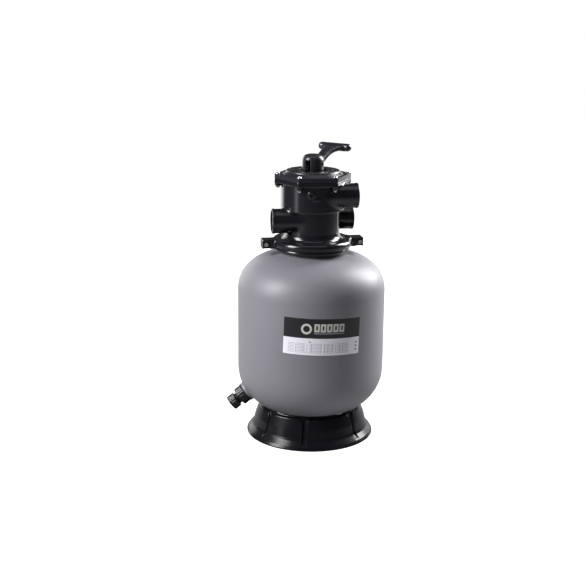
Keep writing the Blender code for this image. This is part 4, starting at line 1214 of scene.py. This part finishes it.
def dress_cad_nodes():
    """Give the inner pieces that keep their CAD meshes the same finishes as their slots."""
    slots = {part["node"]: part["material_slot"] for part in frame["record"]["subparts"]}
    for name, node in frame["nodes"].items():
        if node.hide_render:
            continue
        node.data.materials.clear()
        node.data.materials.append(FINISHES[slots[name]])


# ---- stage


def camera():
    """Camera at the photograph's viewing angle, in the frame turned with the object."""
    data = bpy.data.cameras.new("camera")
    data.lens = CAMERA_LENS
    data.sensor_width = 36.0
    data.sensor_fit = "HORIZONTAL"
    data.clip_end = 200.0
    obj = new_object("camera", data)
    level = math.cos(CAMERA_PITCH)
    forward = Vector(
        (math.sin(CAMERA_YAW) * level, math.cos(CAMERA_YAW) * level, -math.sin(CAMERA_PITCH))
    )
    right = Vector((math.cos(CAMERA_YAW), -math.sin(CAMERA_YAW), 0))
    up = right.cross(forward)
    rolled_right = right * math.cos(CAMERA_ROLL) + up * math.sin(CAMERA_ROLL)
    rolled_up = -right * math.sin(CAMERA_ROLL) + up * math.cos(CAMERA_ROLL)
    turn = Matrix((rolled_right, rolled_up, -forward)).transposed().to_4x4()
    placed = Matrix.Translation((0, -CAMERA_DISTANCE, CAMERA_HEIGHT)) @ turn
    about_tank = Matrix.Translation((AXIS_X, 0, 0)) @ Matrix.Rotation(CAMERA_AZIMUTH, 4, "Z")
    obj.matrix_world = about_tank @ placed
    bpy.context.scene.camera = obj


def softbox(name, azimuth, elevation, distance, size, power, target=(0.0, 0.0, 0.36)):
    """Rectangular lamp; azimuth 0 is the camera's side, positive to the viewer's right."""
    data = bpy.data.lights.new(name, "AREA")
    data.shape = "RECTANGLE"
    data.size, data.size_y = size
    data.energy = power
    obj = new_object(name, data)
    turn = math.radians(azimuth - 90) + CAMERA_AZIMUTH
    lift = math.radians(elevation)
    aim = Vector((AXIS_X, 0, 0)) + Vector(target)
    away = Vector((math.cos(turn) * math.cos(lift), math.sin(turn) * math.cos(lift), math.sin(lift)))
    obj.location = aim + away * distance
    obj.rotation_euler = away.to_track_quat("Z", "Y").to_euler()
    return obj


def world():
    """White surroundings for the camera, dim grey ones for the light they give."""
    data = bpy.data.worlds.new("studio")
    bpy.context.scene.world = data
    data.use_nodes = True
    tree = data.node_tree
    background = tree.nodes["Background"]
    seen = tree.nodes.new("ShaderNodeBackground")
    seen.inputs["Color"].default_value = (1, 1, 1, 1)
    seen.inputs["Strength"].default_value = 1.2
    background.inputs["Color"].default_value = (0.93, 0.95, 1.0, 1)
    background.inputs["Strength"].default_value = 0.09
    path = tree.nodes.new("ShaderNodeLightPath")
    mix = tree.nodes.new("ShaderNodeMixShader")
    tree.links.new(path.outputs["Is Camera Ray"], mix.inputs["Fac"])
    tree.links.new(background.outputs["Background"], mix.inputs[1])
    tree.links.new(seen.outputs["Background"], mix.inputs[2])
    tree.links.new(mix.outputs["Shader"], tree.nodes["World Output"].inputs["Surface"])


def floor():
    """Plain white floor that only keeps the faintest contact shadow."""
    mesh = bmesh.new()
    half = 40.0
    corners = ((-1, -1), (1, -1), (1, 1), (-1, 1))
    mesh.faces.new([mesh.verts.new((x * half, y * half, 0)) for x, y in corners])
    obj = add_mesh("floor", mesh)
    recipe = Recipe("floor")
    path = recipe.tree.nodes.new("ShaderNodeLightPath")
    glow = recipe.ramp(path.outputs["Is Camera Ray"], 0.0, 0.97, 0.0, 1.0)
    recipe.set(Base_Color=(0.34, 0.34, 0.34), Roughness=0.9, Specular_IOR_Level=0.0)
    recipe.set(Emission_Color=(1.0, 1.0, 1.0), Emission_Strength=glow)
    obj.data.materials.append(recipe.material)


def lights():
    softbox("key_left", -64, 30, 2.2, (0.8, 1.3), 72)
    softbox("low_left", -59, -4, 2.3, (0.42, 0.5), 2)
    softbox("rim_right", 122, 30, 2.2, (1.0, 1.5), 108)
    softbox("back_left", -145, 6, 2.4, (1.6, 1.4), 16)
    softbox("back_right", 150, 4, 2.4, (1.6, 1.4), 12)
    softbox("overhead", 10, 82, 2.0, (1.6, 1.2), 5)


def settings():
    scene = bpy.context.scene
    scene.view_settings.view_transform = "Standard"
    scene.view_settings.look = "None"


camera()
settings()
world()
floor()
lights()
tank()
skirt()
label()
valve()
lid()
dial()
screws()
gauge_plug()
clamp()
handle()
spring()
drain()
dress_cad_nodes()
